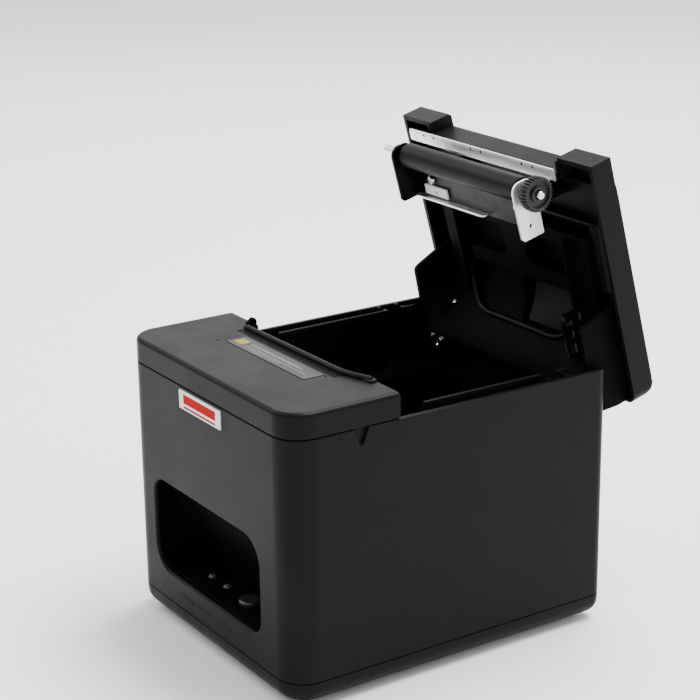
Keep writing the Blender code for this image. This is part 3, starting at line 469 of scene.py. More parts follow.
def build(name, bm, slot, body, nodes=(), steps=(), bevel=0.25 * MM, segments=2, material=None, limit=32):
    """Make one visible piece: its solid, its cuts, its softened edges, material and body."""
    obj = link_mesh(name, bm, body)
    carve(obj, steps, body)
    finish_piece(obj, material or MATS[slot], body, nodes, bevel, segments, limit)


def dress(node):
    """A CAD node's own shape with softened edges and its finished material."""
    bm = bmesh.new()
    bm.from_mesh(NODES[node].data)
    slot = NODE_SLOT[node]
    finish_piece(link_mesh(node + "_part", bm), MATS[slot], NODE_BODY[node], [node])


def make_screw(name, centre, base, radius, body):
    """A pan head with a cross recess that faces forwards, seated on base, a world Y."""
    tall = 0.62 * radius
    stations = [(base + 0.4 * MM, radius * 0.96)]
    stations += [(base - rise * tall, width * radius)
                 for rise, width in ((0.2, 1), (0.6, 0.94), (0.9, 0.72), (1, 0.45))]
    long, short = 0.62 * radius, 0.14 * radius
    slots = []
    for a, b in ((short, long), (long, short)):
        outline = [(centre[0] - a, centre[1] - b), (centre[0] + a, centre[1] - b),
                   (centre[0] + a, centre[1] + b), (centre[0] - a, centre[1] + b)]
        cut(slots, prism(outline, 'Y', base - 2 * tall, base - 0.45 * tall))
    build(name, turned('Y', centre, stations, 24), "chrome", body, steps=slots, bevel=0)


# ---- the lid, laid out closed ----
def closed_box(node):
    """(lowest, highest) corner of a lid node once its lid is turned closed."""
    shut = OPEN.inverted()
    points = [shut @ vertex.co for vertex in NODES[node].data.vertices]
    low = Vector([min(p[i] for p in points) for i in range(3)])
    high = Vector([max(p[i] for p in points) for i in range(3)])
    return low, high


LID_LOW, LID_HIGH = closed_box("lid_frame")
LID_SKIRT = 11.5 * MM
RIM = LID_HIGH.z - LID_SKIRT
LID_START = LID_LOW.y - FRONT          # the lid's front, as a depth
PLATEN = OPEN.inverted() @ Vector(JOINTS["platen_spin"]["pos_m"])


def lid_y(along):
    """World Y, lid closed, of a point that lies along behind the lid's front."""
    return LID_LOW.y + along


# ---- casing ----
FRONT_CORNER, REAR_CORNER = 14 * MM, 6 * MM
WINDOW_X = (-50 * MM, 45 * MM)
WINDOW_Z = (27.5 * MM, 73 * MM)
WINDOW_RADII = (13 * MM, 8 * MM, 13 * MM, 8 * MM)


def plan(inset, back=BACK, rear=REAR_CORNER):
    """The casing's plan outline, drawn in by inset."""
    least = 0.5 * MM
    front = max(FRONT_CORNER - inset, least)
    rear = max(rear - inset, least)
    radii = (front, front, rear, rear)
    return rounded((inset - HALF, HALF - inset), (FRONT + inset, back - inset), radii, 14)


def window_outline(grow=0.0):
    (x0, x1), (z0, z1) = WINDOW_X, WINDOW_Z
    radii = [radius + grow for radius in WINDOW_RADII]
    return rounded((x0 - grow, x1 + grow), (z0 - grow, z1 + grow), radii, 12)


def make_shell():
    """Casing wall: control window, badge recess, side notches, and the openings of the rear wall."""
    low, high = SHELL_LOW.z, SHELL_HIGH.z
    past = 5 * MM                        # how far a cutting solid runs past the wall
    lip = 0.5 * MM
    rings = [(lip, low), (0.15 * lip, low + 0.35 * lip), (0, low + lip), (0, high - lip),
             (0.15 * lip, high - 0.35 * lip), (lip, high)]
    outer = loft([[(x, y, z) for x, y in plan(inset)] for inset, z in rings])
    steps = [("cut", prism(plan(WALL), 'Z', low - past, high + past)),
             ("cut", prism(window_outline(), 'Y', FRONT - past, FRONT + 6 * MM))]
    # A narrow flare runs round the control window.
    flare = 1.1 * MM
    rings = [(flare + 0.3 * MM, -0.3 * MM), (flare, 0), (0.45 * flare, 0.3 * flare),
             (0.1 * flare, 0.8 * flare), (0, 1.3 * flare)]
    cut(steps, loft([[(x, FRONT + d, z) for x, z in window_outline(g)] for g, d in rings]))
    badge_recess = block((-21.3 * MM, 16.3 * MM), (-past, 0.8 * MM), (115.9 * MM, 125.4 * MM))
    cut(steps, badge_recess)
    rear_wall, over_wall = (168 * MM, 180 * MM), 140 * MM
    # Tapered finger notches below the seam on both sides.
    for side in (-1, 1):
        deep, shallow = HALF - 1.7 * MM, HALF + 0.5 * MM
        top = [(at(32.4 * MM), high + 1 * MM), (at(41.3 * MM), high + 1 * MM),
               (at(37.6 * MM), high - 8 * MM), (at(36.2 * MM), high - 8.4 * MM), (at(35 * MM), high - 7 * MM)]
        middle, narrower, higher = at(37.4 * MM), 0.72, 1.1 * MM
        floor = [(side * deep, middle + (y - middle) * narrower, z + (higher if z < high else 0))
                 for y, z in top]
        cut(steps, loft([floor, [(side * shallow, y, z) for y, z in top]]))
        # Gate mark of the moulding beside the front corner.
        mark = turned('X', (at(25.3 * MM), high - 2 * MM),
                      [(side * (HALF - 0.35 * MM), 0.7 * MM), (side * (HALF + 0.4 * MM), 1.15 * MM)], 20)
        cut(steps, mark)
        cheek_slot = block(both(side, 59 * MM, 68.6 * MM), rear_wall, (102 * MM, over_wall))
        cut(steps, cheek_slot)
    # The rear wall is low between the cheeks, and open below for the socket panel.
    for z_range in ((112.5 * MM, over_wall), (18 * MM, 47 * MM)):
        cut(steps, block((-60 * MM, 60 * MM), rear_wall, z_range))
    build("body_shell_part", outer, "casing", "body", ["body_shell"], steps, bevel=0.22 * MM)


def make_cover():
    """Front cover: soft top edge, exit slot, raised lip with its end block, fine lines and label recess."""
    low, high = COVER_LOW.z, COVER_LOW.z + 11.7 * MM
    back, over = COVER_HIGH.y, high + 5 * MM
    soft, turn_steps = 2.2 * MM, 7
    rings = [(0.4 * MM, low), (0, low + 0.4 * MM)]
    for step in range(turn_steps + 1):
        angle = math.radians(90 * step / turn_steps)
        rings.append((soft * (1 - math.cos(angle)), high - soft + soft * math.sin(angle)))
    body = loft([[(x, y, z) for x, y in plan(inset, back + inset * 0.75, 0.6 * MM)] for inset, z in rings])
    steps = [("cut", prism(plan(WALL, back - 0.001 * MM, 0.6 * MM), 'Z', low - 5 * MM, high - WALL))]
    slot = rounded((-46 * MM, 50 * MM), (at(51 * MM), at(80 * MM)), (1 * MM, 5 * MM, 1 * MM, 1 * MM), 8)
    cut(steps, prism(slot, 'Z', low - 5 * MM, over))
    # Shallow sunk band with three fine lines in front of the lip, and the label's recess.
    band = rounded((-44 * MM, 40 * MM), (at(43.8 * MM), at(48 * MM)), 0.8 * MM, 4)
    cut(steps, prism(band, 'Z', high - 0.35 * MM, over))
    for line in range(3):
        depth = (44.7 + 1.15 * line) * MM
        cut(steps, block((-43 * MM, 39 * MM), (depth, depth + 0.45 * MM), (high - 0.7 * MM, over)))
    recess = rounded((-33.5 * MM, 34.5 * MM), (at(31.5 * MM), at(43 * MM)), 0.6 * MM, 4)
    cut(steps, prism(recess, 'Z', high - 0.5 * MM, over))
    # A small blind hole at either end of the label.
    for x, depth in ((-36.8 * MM, 29.3 * MM), (35.9 * MM, 42.1 * MM)):
        cut(steps, rod('Z', (x, at(depth)), 0.55 * MM, high - 0.5 * MM, over, 16))
    build("front_cover_part", body, "casing", "body", ["front_cover"], steps, bevel=0.22 * MM)
    # The paper's guide lip: a rounded bar that bends back to an end block.
    ridge = high + 0.5 * MM
    route = [(-45.6, 49.4), (-30, 49.6), (0, 49.8), (30, 50.1), (38, 50.6), (44, 52.1), (49.5, 54.2),
             (53, 55.2)]
    path = smooth_path([Vector((x * MM, at(depth * MM), ridge)) for x, depth in route])
    build("exit_lip", sweep(path, 1.5 * MM, 16, 0.6), "casing", "body", bevel=0)
    block_outline = rounded((49 * MM, 55 * MM), (at(52.6 * MM), at(57 * MM)), 1.2 * MM, 5)
    build("lip_end_block", prism(block_outline, 'Z', high - 3 * MM, high + 0.9 * MM), "casing", "body",
          bevel=0.4 * MM, segments=3)
    # A fin with a round top guides the paper's left-hand edge.
    fin = [(at(50 * MM), high - 3 * MM), (at(56.4 * MM), high - 3 * MM), (at(56.4 * MM), high + 1.2 * MM)]
    fin += arc((at(54.2 * MM), high + 1.6 * MM), 2.2 * MM, 8, 0, 100)
    fin += [(at(51.4 * MM), high + 1.8 * MM)]
    build("guide_fin", prism(fin, 'X', -48.4 * MM, -46.2 * MM), "inner", "body", bevel=0.35 * MM, segments=3)


def make_marks():
    """Plain marks in place of printed words: label bars, a bare badge and three bars under the window."""
    low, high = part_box("notice_label")
    label = rounded((low.x, high.x), (low.y, high.y), 0.5 * MM, 4)
    build("notice_label_part", prism(label, 'Z', low.z, high.z), "label", "body", ["notice_label"],
          bevel=0.06 * MM)
    top = high.z
    film = 0.03 * MM
    centre = (low.y + high.y) / 2
    # Ends from the label's left end, then edges from its middle line, in millimetres.
    length = (high.x - low.x) / MM
    for name, x0, x1, y0, y1, colour in (("label_tab", 2, 9, -2.6, 2.9, "amber_print"),
                                         ("label_bar_1", 12, length - 12, 0.7, 1.9, "print"),
                                         ("label_bar_2", 12, length - 5, -1.7, -1.1, "print"),
                                         ("label_bar_3", 12, length - 24, -3.3, -2.8, "print")):
        bar = rounded((low.x + x0 * MM, low.x + x1 * MM), (centre + y0 * MM, centre + y1 * MM), 0.25 * MM, 3)
        build(name, prism(bar, 'Z', top - film, top + film), "label", "body", bevel=0, material=MATS[colour])

    low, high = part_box("badge_plate")
    badge = rounded((low.x, high.x), (low.z, high.z), 0.35 * MM, 3)
    build("badge_plate_part", prism(badge, 'Y', low.y, high.y), "plate", "body", ["badge_plate"],
          bevel=0.12 * MM)
    middle = (low.z + high.z) / 2
    for name, rise, tall in (("badge_stripe", 0.8 * MM, 2.2 * MM), ("badge_underline", -3.1 * MM, 0.5 * MM)):
        stripe = rounded((low.x + 4 * MM, high.x - 4 * MM), (middle + rise - tall, middle + rise + tall),
                         0.4 * MM, 4)
        build(name, prism(stripe, 'Y', low.y - film, low.y + film), "plate", "body", bevel=0,
              material=MATS["red_print"])
    mark_z, tall = 20.3 * MM, 1.1 * MM
    for index, (x0, x1) in enumerate(((-29, -15), (-13, 1), (12, 19)), 1):
        pill = rounded((x0 * MM, x1 * MM), (mark_z - tall, mark_z + tall), tall, 6)
        build("caption_bar_%d" % index, prism(pill, 'Y', FRONT - film, FRONT + film), "plate", "body",
              bevel=0, material=MATS["dark_print"])


def upright(node):
    """Lowest and highest z, middle x and radius of a round CAD node that stands upright."""
    low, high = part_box(node)
    return low.z, high.z, (low.x + high.x) / 2, (high.x - low.x) / 2


def make_niche():
    """Scooped control niche: the roof slopes down to the floor, with soft corners."""
    low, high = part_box("control_niche")
    floor_z, end_height, end_narrow = WINDOW_Z[0] + 0.8 * MM, 7 * MM, 1.2 * MM
    deep, roof_start, slices = 25.6 * MM, 9 * MM, 9
    rings = []
    slope = [roof_start + k * (deep - roof_start) / slices for k in range(slices + 1)]
    for depth in [-1 * MM, 0.3 * MM] + slope:
        share = max(0.0, (depth - roof_start) / (deep - roof_start))
        roof = WINDOW_Z[1] + 0.2 * MM - (WINDOW_Z[1] - floor_z - end_height) * share
        narrow = end_narrow * share
        height = roof - floor_z
        radii = [min(radius, 0.46 * height) for radius in (6 * MM, 6 * MM, 12 * MM, 8 * MM)]
        outline = rounded((WINDOW_X[0] + narrow, WINDOW_X[1] - narrow), (floor_z, roof), radii, 8)
        rings.append([(x, at(depth), z) for x, z in outline])
    # The last rings close the foot of the sloping wall with a soft fillet.
    for extra, shrink in ((1.2 * MM, 1.4 * MM), (1.9 * MM, 3 * MM)):
        outline = rounded((WINDOW_X[0] + end_narrow + shrink, WINDOW_X[1] - end_narrow - shrink),
                          (floor_z + 0.25 * shrink, floor_z + end_height - shrink), 1.5 * MM, 8)
        rings.append([(x, at(deep + extra - 1.4 * MM), z) for x, z in outline])
    solid = block((low.x, high.x), (low.y - FRONT, high.y - FRONT), (low.z, high.z))
    steps = [("cut", loft(rings))]
    light_low, light_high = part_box("status_light_left")
    spot_y = (light_low.y + light_high.y) / 2
    for node, clear in (("status_light_left", 0.3), ("status_light_right", 0.3), ("feed_button", 0.6)):
        _, _, x, radius = upright(node)
        cut(steps, rod('Z', (x, spot_y), radius + clear * MM, 20 * MM, 40 * MM, 36))
    # The last hole is the button's, which has a dished rim.
    rim = [(floor_z - 0.6 * MM, radius + 0.7 * MM), (floor_z + 0.3 * MM, radius + 1.6 * MM)]
    cut(steps, turned('Z', (x, spot_y), rim, 36))
    build("control_niche_part", solid, "inner", "body", ["control_niche"], steps, bevel=0.15 * MM, limit=50)
    # Domed lenses and a dished key.
    for node in ("status_light_left", "status_light_right"):
        bottom, top, x, radius = upright(node)
        dome = [(bottom, radius)]
        for step in range(7):
            angle = math.radians(12.5 * step)
            dome.append((top - 1.1 * MM * (1 - math.sin(angle)), radius * math.cos(angle)))
        build(node + "_part", turned('Z', (x, spot_y), dome, 28), "lens", "body", [node], bevel=0)
    bottom, top, x, radius = upright("feed_button")
    cap = [(bottom, radius), (top - 1 * MM, radius), (top - 0.4 * MM, radius - 0.18 * MM),
           (top - 0.08 * MM, radius - 0.7 * MM), (top, radius - 1.3 * MM),
           (top - 0.25 * MM, radius - 2.3 * MM), (top - 0.4 * MM, 0.6 * MM)]
    build("feed_button_part", turned('Z', (x, spot_y), cap, 40), "key", "feed_key", ["feed_button"],
          bevel=0)


# ---- paper bay ----
def make_bay():
    """Deck with the roll's trough, a capped rail along either side, and two small screws behind."""
    low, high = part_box("paper_bay")
    deck = (96 * MM, 98.4 * MM)
    roll, centre = 42 * MM, (at(120 * MM), 82 * MM)
    body = block((low.x, high.x), (low.y - FRONT, high.y - FRONT), deck)
    shell = [(centre[0] - roll - WALL, deck[0] + 1 * MM)]
    shell += arc(centre, roll + WALL, 36, 180, HALF_TURN)
    shell += [(centre[0] + roll + WALL, deck[0] + 1 * MM)]
    hollow = [(centre[0] - roll, deck[1] + 5 * MM)]
    hollow += arc(centre, roll, 36, 180, HALF_TURN)
    hollow += [(centre[0] + roll, deck[1] + 5 * MM)]
    steps = [("add", prism(shell, 'X', -44.5 * MM, 44.5 * MM)),
             ("cut", prism(hollow, 'X', -42 * MM, 42 * MM))]
    top, root = high.z, deck[0] + 1 * MM
    lining, rails = (60.2 * MM, 61.8 * MM), ((77 * MM, 142 * MM), (151 * MM, 158 * MM))
    for side in (-1, 1):
        for rail in rails:
            add(steps, block(both(side, *lining), rail, (root, top - 2 * MM)))
        for depth in (95 * MM, 118 * MM):
            gusset = both(side, lining[1] - 0.5 * MM, 63.2 * MM)
            add(steps, block(gusset, (depth, depth + 1.2 * MM), (root, top - 9 * MM)))
    # Raised runners that carry the roll.
    outer, inner = roll + 1 * MM, roll - 1.1 * MM
    for x in (-28, 0, 28):
        runner = [(centre[0] - inner, centre[1]), (centre[0] - outer, centre[1])]
        runner += arc(centre, outer, 30, 180, HALF_TURN)[1:]
        runner += arc(centre, inner, 30, 180, HALF_TURN)[::-1]
        add(steps, prism(runner, 'X', (x - 1.2) * MM, (x + 1.2) * MM))
    build("paper_bay_part", body, "inner", "body", ["paper_bay"], steps)
    # Rounded caps along the rails, with short tabs at the gap that the lid's cheeks pass through.
    cap_radii, tab = (0.2 * MM, 0.2 * MM, 0.7 * MM, 0.7 * MM), 1.4 * MM
    for side, name in SIDES:
        cap = rounded(both(side, *lining), (top - 2.5 * MM, top), cap_radii, 5)
        parts = [prism(cap, 'Y', at(start), at(end)) for start, end in rails]
        for depth in (rails[0][1] - tab, rails[1][0]):
            for near, far in ((lining[1] - 0.3 * MM, 63.6 * MM), (66.8 * MM, 69.9 * MM)):
                parts.append(block(both(side, near, far), (depth, depth + tab),
                                   (top - 4.5 * MM, top - 0.2 * MM)))
        build("bay_rail_" + name, merge(*parts), "casing", "body", bevel=0.15 * MM)
        # A small bright screw high on the back wall beside each hinge bracket.
        make_screw("back_screw_" + name, (side * 55 * MM, 108 * MM), BACK - WALL, 2 * MM, "body")


# ---- lid ----
BRACKET_SCREW = (34 * MM, lid_y(21 * MM))      # the right-hand one, as X and closed-lid Y


def lid_profile(inset, radius):
    """Front, back and top of the lid frame, drawn in by inset, and its round back edge as (y, z)."""
    front, back, top = LID_LOW.y + inset, LID_HIGH.y - inset, LID_HIGH.z - inset
    return front, back, top, arc((back - radius, top - radius), radius, 12, 0, 90)


def make_cheeks():
    """Hinge cheeks: a flat plate with a boss round the pin, which has a raised ring on it."""
    back, pin = LID_HIGH.y, (HINGE.y, HINGE.z)
    cheek = [(lid_y(71 * MM), RIM + 10 * MM), (lid_y(72.4 * MM), RIM - 4.3 * MM),
             (lid_y(75.1 * MM), RIM - 15 * MM)]
    cheek += arc((lid_y(78.4 * MM), RIM - 15.4 * MM), 3 * MM, 5, 190, 75)
    cheek += [(lid_y(98 * MM), RIM - 19.4 * MM)]
    cheek += arc(pin, 6 * MM, 16, 200, 160)
    cheek += [(back - 1 * MM, RIM - 6 * MM), (back - 1 * MM, RIM + 4 * MM), (lid_y(108 * MM), RIM + 10 * MM)]
    for side, name in SIDES:
        ring = rod('X', pin, 4.4 * MM, *both(side, 63.75 * MM, 66.3 * MM), 36)
        bore = rod('X', pin, 2.6 * MM, *both(side, 60 * MM, 69 * MM))
        build("lid_cheek_" + name, prism(cheek, 'X', *both(side, 64 * MM, 66.4 * MM)), "inner", "lid",
              steps=[("add", ring), ("cut", bore)], bevel=0.3 * MM)


def make_lid_frame():
    """Lid frame: a hollow tray with an ear at either front corner, columns, screw posts and ribs."""
    half, skirt, ear, step_back = HALF, 2.2 * MM, 24 * MM, 6 * MM
    front, back, top, round_back = lid_profile(0, 8 * MM)
    outer = prism([(front, RIM), (back, RIM)] + round_back + [(front, top)], 'X', -half, half)
    _, back_in, top_in, round_in = lid_profile(skirt, 6 * MM)
    behind, below = lid_y(step_back) + skirt, RIM - 10 * MM
    cavity = [(behind, below), (back_in, below)] + round_in + [(behind, top_in)]
    steps = [("cut", prism(cavity, 'X', skirt - half, half - skirt))]
    for side, _ in SIDES:
        inside_ear = both(side, half - skirt, half - ear + skirt)
        cut(steps, block(inside_ear, (LID_START + skirt, LID_START + step_back + skirt + 2 * MM),
                         (below, top_in)))
    # Between the ears the front wall stands back, with a ledge along its foot.
    cut(steps, block((ear - half, half - ear), (LID_START - 5 * MM, LID_START + step_back),
                     (below, RIM + 30 * MM)))
    ledge = (LID_START + step_back + 0.1 * MM, LID_START + step_back + skirt + 1 * MM)
    add(steps, block((-60 * MM, 50 * MM), ledge, (RIM - 4 * MM, RIM + 5 * MM)))
    # Both back corners are rounded in plan.
    over, reach = 2 * MM, REAR_CORNER
    for side, _ in SIDES:
        corner = [(half + over, back + over), (half + over, back - reach)]
        corner += arc((half - reach, back - reach), reach, 12, 0, 90) + [(half - reach, back + over)]
        cut(steps, prism([(side * x, y) for x, y in corner], 'Z', RIM - 20 * MM, RIM + 30 * MM))
    crown = RIM + LID_SKIRT - 1 * MM
    for side, _ in SIDES:
        # Half-round column inside the side wall, and the bracket's screw post.
        column = arc((side * 59.4 * MM, RIM + 9 * MM), 5.2 * MM, 16, 180, HALF_TURN)
        add(steps, prism(column, 'Y', lid_y(34 * MM), lid_y(68 * MM)))
        post = (side * BRACKET_SCREW[0], BRACKET_SCREW[1])
        add(steps, rod('Z', post, 4 * MM, RIM - 13.4 * MM, crown))
        cut(steps, rod('Z', post, 1.5 * MM, RIM - 20 * MM, RIM, 16))
        # A thin fin stands proud along the inner edge of each ear.
        fin = both(side, half - ear, half - ear + 1.3 * MM)
        add(steps, block(fin, (LID_START + 1 * MM, LID_START + step_back + 1 * MM),
                         (RIM - 1.6 * MM, top + 1.2 * MM)))
    # Cross ribs stiffen the underside between the bracket and the liner.
    for along in (12 * MM, 33 * MM):
        rib = (LID_START + along, LID_START + along + 1.3 * MM)
        add(steps, block((1 * MM - half, half - 1 * MM), rib, (RIM + 4.5 * MM, crown)))
    build("lid_frame_part", outer, "casing", "lid", ["lid_frame"], steps, bevel=0.3 * MM)


def make_lid_cover():
    """Crowned cover: ramped front, soft sides and a back edge rolled over the frame's."""
    low, high = closed_box("lid_cover")
    start, back, top = low.y, LID_HIGH.y, high.z
    base = LID_HIGH.z + 0.3 * MM
    rounding, crown = 10 * MM, top - LID_HIGH.z
    inner_round = rounding - crown
    upper = [(start, base), (start, base + 0.5 * MM), (start + 1.2 * MM, base + 1.0 * MM),
             (start + 4.6 * MM, top - 0.1 * MM), (start + 6.5 * MM, top)]
    upper += arc((back - rounding, top - rounding), rounding, 12, 45, 45)[::-1]
    lower = arc((back - inner_round, top - rounding), inner_round + 0.3 * MM, 10, 55, 35)
    soft, half = 1.6 * MM, HALF - 0.8 * MM
    # The upper skin sinks towards both sides in a small round: distance from the side, and share of the drop.
    full_drop = 1.3 * MM
    edge = [(0, 1.0), (0.15 * soft, 0.55), (0.5 * soft, 0.18), (soft, 0.0)]
    across = [(inside - half, drop) for inside, drop in edge]
    across += [(-x, drop) for x, drop in across[::-1]]
    rings = []
    for x, drop in across:
        ring = []
        for index, (y, z) in enumerate(upper + lower):
            if 1 < index < len(upper):
                share = index / (len(upper) - 1)
                fade = 1 - 0.72 * max(0.0, (share - 0.35) / 0.65)
                z -= drop * full_drop * fade * (1 if z > base + 1.2 * MM else 0.2)
            ring.append((x, y, z))
        rings.append(ring)
    build("lid_cover_part", loft(rings), "casing", "lid", ["lid_cover"], bevel=0.15 * MM)


def make_liner():
    """Paper guide inside the lid: ribs, four pockets, side walls and a rolled rim under the pockets."""
    low, high = closed_box("lid_liner")
    thick, rib, radius = 1.8 * MM, 7.4 * MM, 34 * MM
    start, upper = low.y, high.z
    bend = high.y - radius
    plate_centre, rib_centre = (bend, upper - radius), (bend + rib - thick, upper - radius)
    plate = [(start, upper)] + arc(plate_centre, radius, 24, 0, 90)[::-1]
    plate += arc(plate_centre, radius - thick, 24, 0, 90) + [(start, upper - thick)]
    ribs = [(start, upper - thick / 2)] + arc(plate_centre, radius - thick / 2, 24, 0, 90)[::-1]
    ribs += arc(rib_centre, radius - rib, 20, 0, 90) + [(start, upper - rib)]
    steps, through = [], []
    for side, _ in SIDES:
        # Near and far edges along the lid, then the corner radii from the middle outwards.
        for middle, near, far, flare, corner in ((8, 47, 64, 7, 2), (1, 72, 95.5, 1, 16)):
            far_corners = (corner * MM, flare * MM)[::side]
            pocket = rounded(both(side, middle * MM, 41 * MM), (lid_y(near * MM), lid_y(far * MM)),
                             (2 * MM, 2 * MM) + far_corners, 10)
            cut(through if side > 0 else steps, prism(pocket, 'Z', upper - radius, upper + 5 * MM))
    # The plate closes the left-hand pockets; the right-hand ones are cut through it.
    add(steps, prism(plate, 'X', low.x, high.x))
    steps += through
    for side, _ in SIDES:
        wall = [(start + 2 * MM, upper - thick), (start + 2 * MM, upper - rib - 1 * MM)]
        wall += arc((start + 5 * MM, upper - rib - 1 * MM), 3 * MM, 6, 180, 90)
        wall += [(bend + 20 * MM, upper - rib - 4 * MM), (bend + 20 * MM, upper - rib - 0.6 * MM)]
        add(steps, prism(wall, 'X', *both(side, 42 * MM, 43.6 * MM)))
    build("lid_liner_part", prism(ribs, 'X', low.x, high.x), "inner", "lid", ["lid_liner"], steps,
          bevel=0.4 * MM)
    make_screw("liner_screw", (-51.8 * MM, RIM - 7.6 * MM), lid_y(97.1 * MM), 1.5 * MM, "lid")
    # Rolled rim along the lower pockets: down each outer edge, round the corner and across.
    route = [(-41.4, 76), (-41.4, 80), (-40.2, 85.8), (-36.9, 90.8), (-31.9, 94.6), (-25, 96)]
    route += [(x, 96) for x in (-17, -9, 0)]
    route += [(-x, along) for x, along in reversed(route[:-1])]
    rim, inside = [], radius - rib
    for x, along in route:
        y = lid_y(along * MM)
        z = rib_centre[1] + math.sqrt(inside * inside - max(0.0, y - rib_centre[0]) ** 2)
        rim.append(Vector((x * MM, y, z - 0.1 * MM)))
    build("liner_scoop_rim", sweep(smooth_path(rim, 4), 1.5 * MM, 12, 0.6), "casing", "lid", bevel=0)


def make_end_ladder():
    """Upright ribbed wall at the right-hand end of the liner, with a round boss at its front corner."""
    span = (46.4 * MM, 48 * MM)
    near, far, floor, roof = 75.5 * MM, 98.5 * MM, RIM - 14.5 * MM, RIM - 2 * MM
    wall = prism(rounded((lid_y(near), lid_y(far)), (floor, roof), 1 * MM, 4), 'X', *span)
    steps = []
    for low_along, high_along in ((77.2, 82.2), (83.8, 88.8), (90.4, 97)):
        for low_z, high_z in ((floor + 1.6 * MM, floor + 5.4 * MM), (floor + 7 * MM, roof - 1.6 * MM)):
            window = rounded((lid_y(low_along * MM), lid_y(high_along * MM)), (low_z, high_z),
                             0.6 * MM, 3)
            cut(steps, prism(window, 'X', span[0] - 2 * MM, span[1] + 2 * MM))
    boss = (lid_y(77 * MM), floor + 1.4 * MM)
    add(steps, rod('X', boss, 1.7 * MM, span[0], span[1] + 2.4 * MM, 20))
    for along in (83, 89.6):
        rung = (LID_START + (along - 0.5) * MM, LID_START + (along + 0.5) * MM)
        add(steps, block((span[0], span[1] + 2 * MM), rung, (floor, roof)))
    build("liner_end_ladder", wall, "casing", "lid", steps=steps)


# ---- platen ----
def make_platen():
    """Ground rubber roller with soft ends, and its gear."""
    low, high = closed_box("platen_roller")
    centre, radius = (PLATEN.y, PLATEN.z), (high.z - low.z) / 2
    bore, soft = 2.9 * MM, 0.5 * MM
    less = 0.3 * soft
    stations = [(low.x, bore), (low.x, radius - soft), (low.x + less, radius - less), (low.x + soft, radius),
                (high.x - soft, radius), (high.x - less, radius - less), (high.x, radius - soft),
                (high.x, bore)]
    build("platen_roller_part", turned('X', centre, stations, 56, True), "rubber", "platen",
          ["platen_roller"], bevel=0, material=MATS["roller"])
    make_platen_gear(centre)


def tooth_outline(centre, module, teeth):
    """Gear outline with rounded-off tips, slim enough to mesh with play."""
    pitch = module * teeth / 2
    tip, root = pitch + 0.9 * module, pitch - 1.15 * module
    step = 2 * math.pi / teeth
    points = []
    for tooth in range(teeth):
        middle = tooth * step
        for radius, share in ((root, -0.34), (pitch, -0.22), (tip - 0.1 * module, -0.13), (tip, -0.07),
                              (tip, 0.07), (tip - 0.1 * module, 0.13), (pitch, 0.22), (root, 0.34)):
            angle = middle + share * step
            points.append((centre[0] + radius * math.cos(angle), centre[1] + radius * math.sin(angle)))
    return points


def make_platen_gear(centre):
    """Moulded gear with a recessed web, a rim, a hub and its bore."""
    low, high = closed_box("platen_gear")
    x0, x1 = low.x, high.x
    module, teeth, bore = 0.5 * MM, 31, 2.3 * MM
    rim_inner = (high.z - low.z) / 2 - 2.6 * module - 0.7 * MM
    hub = bore + 1.5 * MM
    dish = 0.28 * (x1 - x0)
    steps = []
    for start, end in ((x1 - dish, x1 + 1 * MM), (x0 - 1 * MM, x0 + dish)):
        section = [(start, hub), (start, rim_inner), (end, rim_inner), (end, hub)]
        cut(steps, turned('X', centre, section, 48, True))
    cut(steps, rod('X', centre, bore, x0 - 1 * MM, x1 + 1 * MM))
    build("platen_gear_part", prism(tooth_outline(centre, module, teeth), 'X', x0, x1), "gear", "platen",
          ["platen_gear"], steps, bevel=0.12 * MM, limit=60)


def make_bracket():
    """Platen bracket, one steel sheet in two painted copies: painted shade on the web and left-hand plate, painted
    highlight on the right-hand plate and rolled hem.
    """
    low, high = closed_box("platen_bracket")
    sheet, nose, half = 1.2 * MM, 5 * MM, high.x
    front, back = low.y, high.y
    foot, crown = low.z, high.z
    plate = [(back - 1.5 * MM, foot), (back, foot + 1.5 * MM), (back, crown), (front + nose, crown)]
    plate += arc((front + nose, crown - nose), nose, 10, 90, 90)
    plate += arc((front + nose, foot + nose), nose, 10, 180, 90)
    # The left-hand plate is coloured with painted shade, the right-hand one with a painted highlight.
    for side, name in SIDES:
        reach = both(side, half - 4 * MM, half + 3 * MM)
        holes = [("cut", rod('X', (PLATEN.y, PLATEN.z), 4.4 * MM, *reach, 36))]
        if side > 0:
            holes.append(("cut", rod('X', (back - 6 * MM, foot + 6.5 * MM), 1.1 * MM, *reach, 24)))
        build("platen_bracket_%s_plate" % name, prism(plate, 'X', *both(side, half - sheet, half)), "steel",
              "lid", steps=holes, bevel=0.22 * MM,
              material=MATS["steel_painted_highlight" if side > 0 else "steel_painted_shade"])
    # The web and the hem are drawn in by a hair, so that no faces coincide.
    hair = 0.05 * MM
    web = block((-half + 2 * hair, half - 2 * hair), (back - FRONT - 14.3 * MM, back - FRONT),
                (crown - sheet, crown - hair))
    along = BRACKET_SCREW[1]
    steps = [("cut", rod('Z', (side * BRACKET_SCREW[0], along), 1.5 * MM, crown - 5 * MM, crown + 5 * MM, 16))
             for side, _ in SIDES]
    # The web is coloured with painted shade.
    build("platen_bracket_part", web, "steel", "lid", ["platen_bracket"], steps, bevel=0.22 * MM,
          material=MATS["steel_painted_shade"])
    # The hem carries the painted highlight too.
    hem = rounded((-half + 1.3 * MM, 8 * MM), (crown - 4.6 * MM, crown - sheet),
                  (0.5 * MM, 1.6 * MM, 0.3 * MM, 0.3 * MM), 6)
    build("platen_bracket_hem", prism(hem, 'Y', back - 1.2 * MM, back - hair), "steel", "lid",
          bevel=0.3 * MM, material=MATS["steel_painted_highlight"])


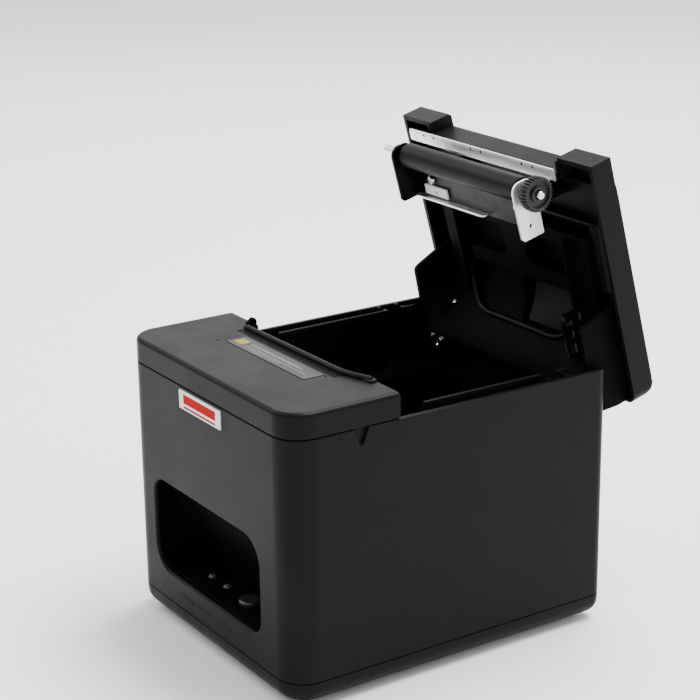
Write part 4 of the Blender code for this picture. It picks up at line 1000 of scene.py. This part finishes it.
def make_blade():
    """Fixed blade with three pairs of riveted holes, and the spring strip beneath it."""
    low, high = closed_box("fixed_blade")
    holes = [(x * MM, lid_y(4.9 * MM)) for x in (-49, -41, -11, -3, 28, 36)]
    steps = [("cut", rod('Z', hole, 0.75 * MM, low.z - 5 * MM, high.z + 5 * MM, 20)) for hole in holes]
    blade = [(low.y, high.z), (low.y, low.z + 0.35 * MM), (low.y + 1.2 * MM, low.z),
             (high.y - 0.8 * MM, low.z), (high.y, low.z + 0.3 * MM), (high.y, high.z)]
    # The blade shares the steel copy that carries a painted highlight.
    build("fixed_blade_part", prism(blade, 'X', low.x, high.x), "steel", "lid", ["fixed_blade"], steps,
          bevel=0.1 * MM, material=MATS["steel_painted_highlight"])
    rivets = [rod('Z', hole, 0.72 * MM, low.z + 0.08 * MM, high.z - 0.1 * MM, 20) for hole in holes]
    build("blade_rivets", merge(*rivets), "inner", "lid", bevel=0)
    start = low.y - FRONT
    strip = block((low.x + 30 * MM, high.x - 3 * MM), (start + 4.6 * MM, start + 5.6 * MM),
                  (low.z - 0.6 * MM, low.z - 0.05 * MM))
    build("blade_spring_strip", strip, "steel", "lid", bevel=0.12 * MM)


# ---- sockets ----
def make_socket_contacts():
    """The data socket's tongue, and the contacts of the other two sockets."""
    low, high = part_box("usb_socket")
    middle = ((low.x + high.x) / 2, (low.z + high.z) / 2)
    tongue = block((middle[0] - 2.8 * MM, middle[0] + 2.8 * MM), (163.2 * MM, 171 * MM),
                   (middle[1] - 1.4 * MM, middle[1] + 1.4 * MM))
    build("usb_tongue", tongue, "white", "body", bevel=0.3 * MM)
    pitch = 1.1 * MM
    for node, count in (("network_socket", 8), ("drawer_socket", 6)):
        low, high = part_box(node)
        middle = (low.x + high.x) / 2
        parts = []
        for index in range(count):
            x = middle + (index - (count - 1) / 2) * pitch
            outline = [(at(163.1 * MM), high.z - 1.4 * MM), (at(163.1 * MM), high.z - 2.2 * MM),
                       (at(170.5 * MM), high.z - 5.0 * MM), (at(170.9 * MM), high.z - 4.6 * MM),
                       (at(164.4 * MM), high.z - 1.4 * MM)]
            parts.append(prism(outline, 'X', x - 0.22 * MM, x + 0.22 * MM))
        build(node + "_contacts", merge(*parts), "steel", "body", bevel=0, material=MATS["gold"])


def main():
    make_camera()
    make_lights()
    make_floor()
    make_shell()
    make_cover()
    make_marks()
    make_niche()
    make_bay()
    make_cheeks()
    make_lid_frame()
    make_lid_cover()
    make_liner()
    make_end_ladder()
    make_platen()
    make_bracket()
    make_blade()
    make_socket_contacts()
    for node in NODES:
        if node not in DRAWN:
            dress(node)


MATS = make_materials()
main()
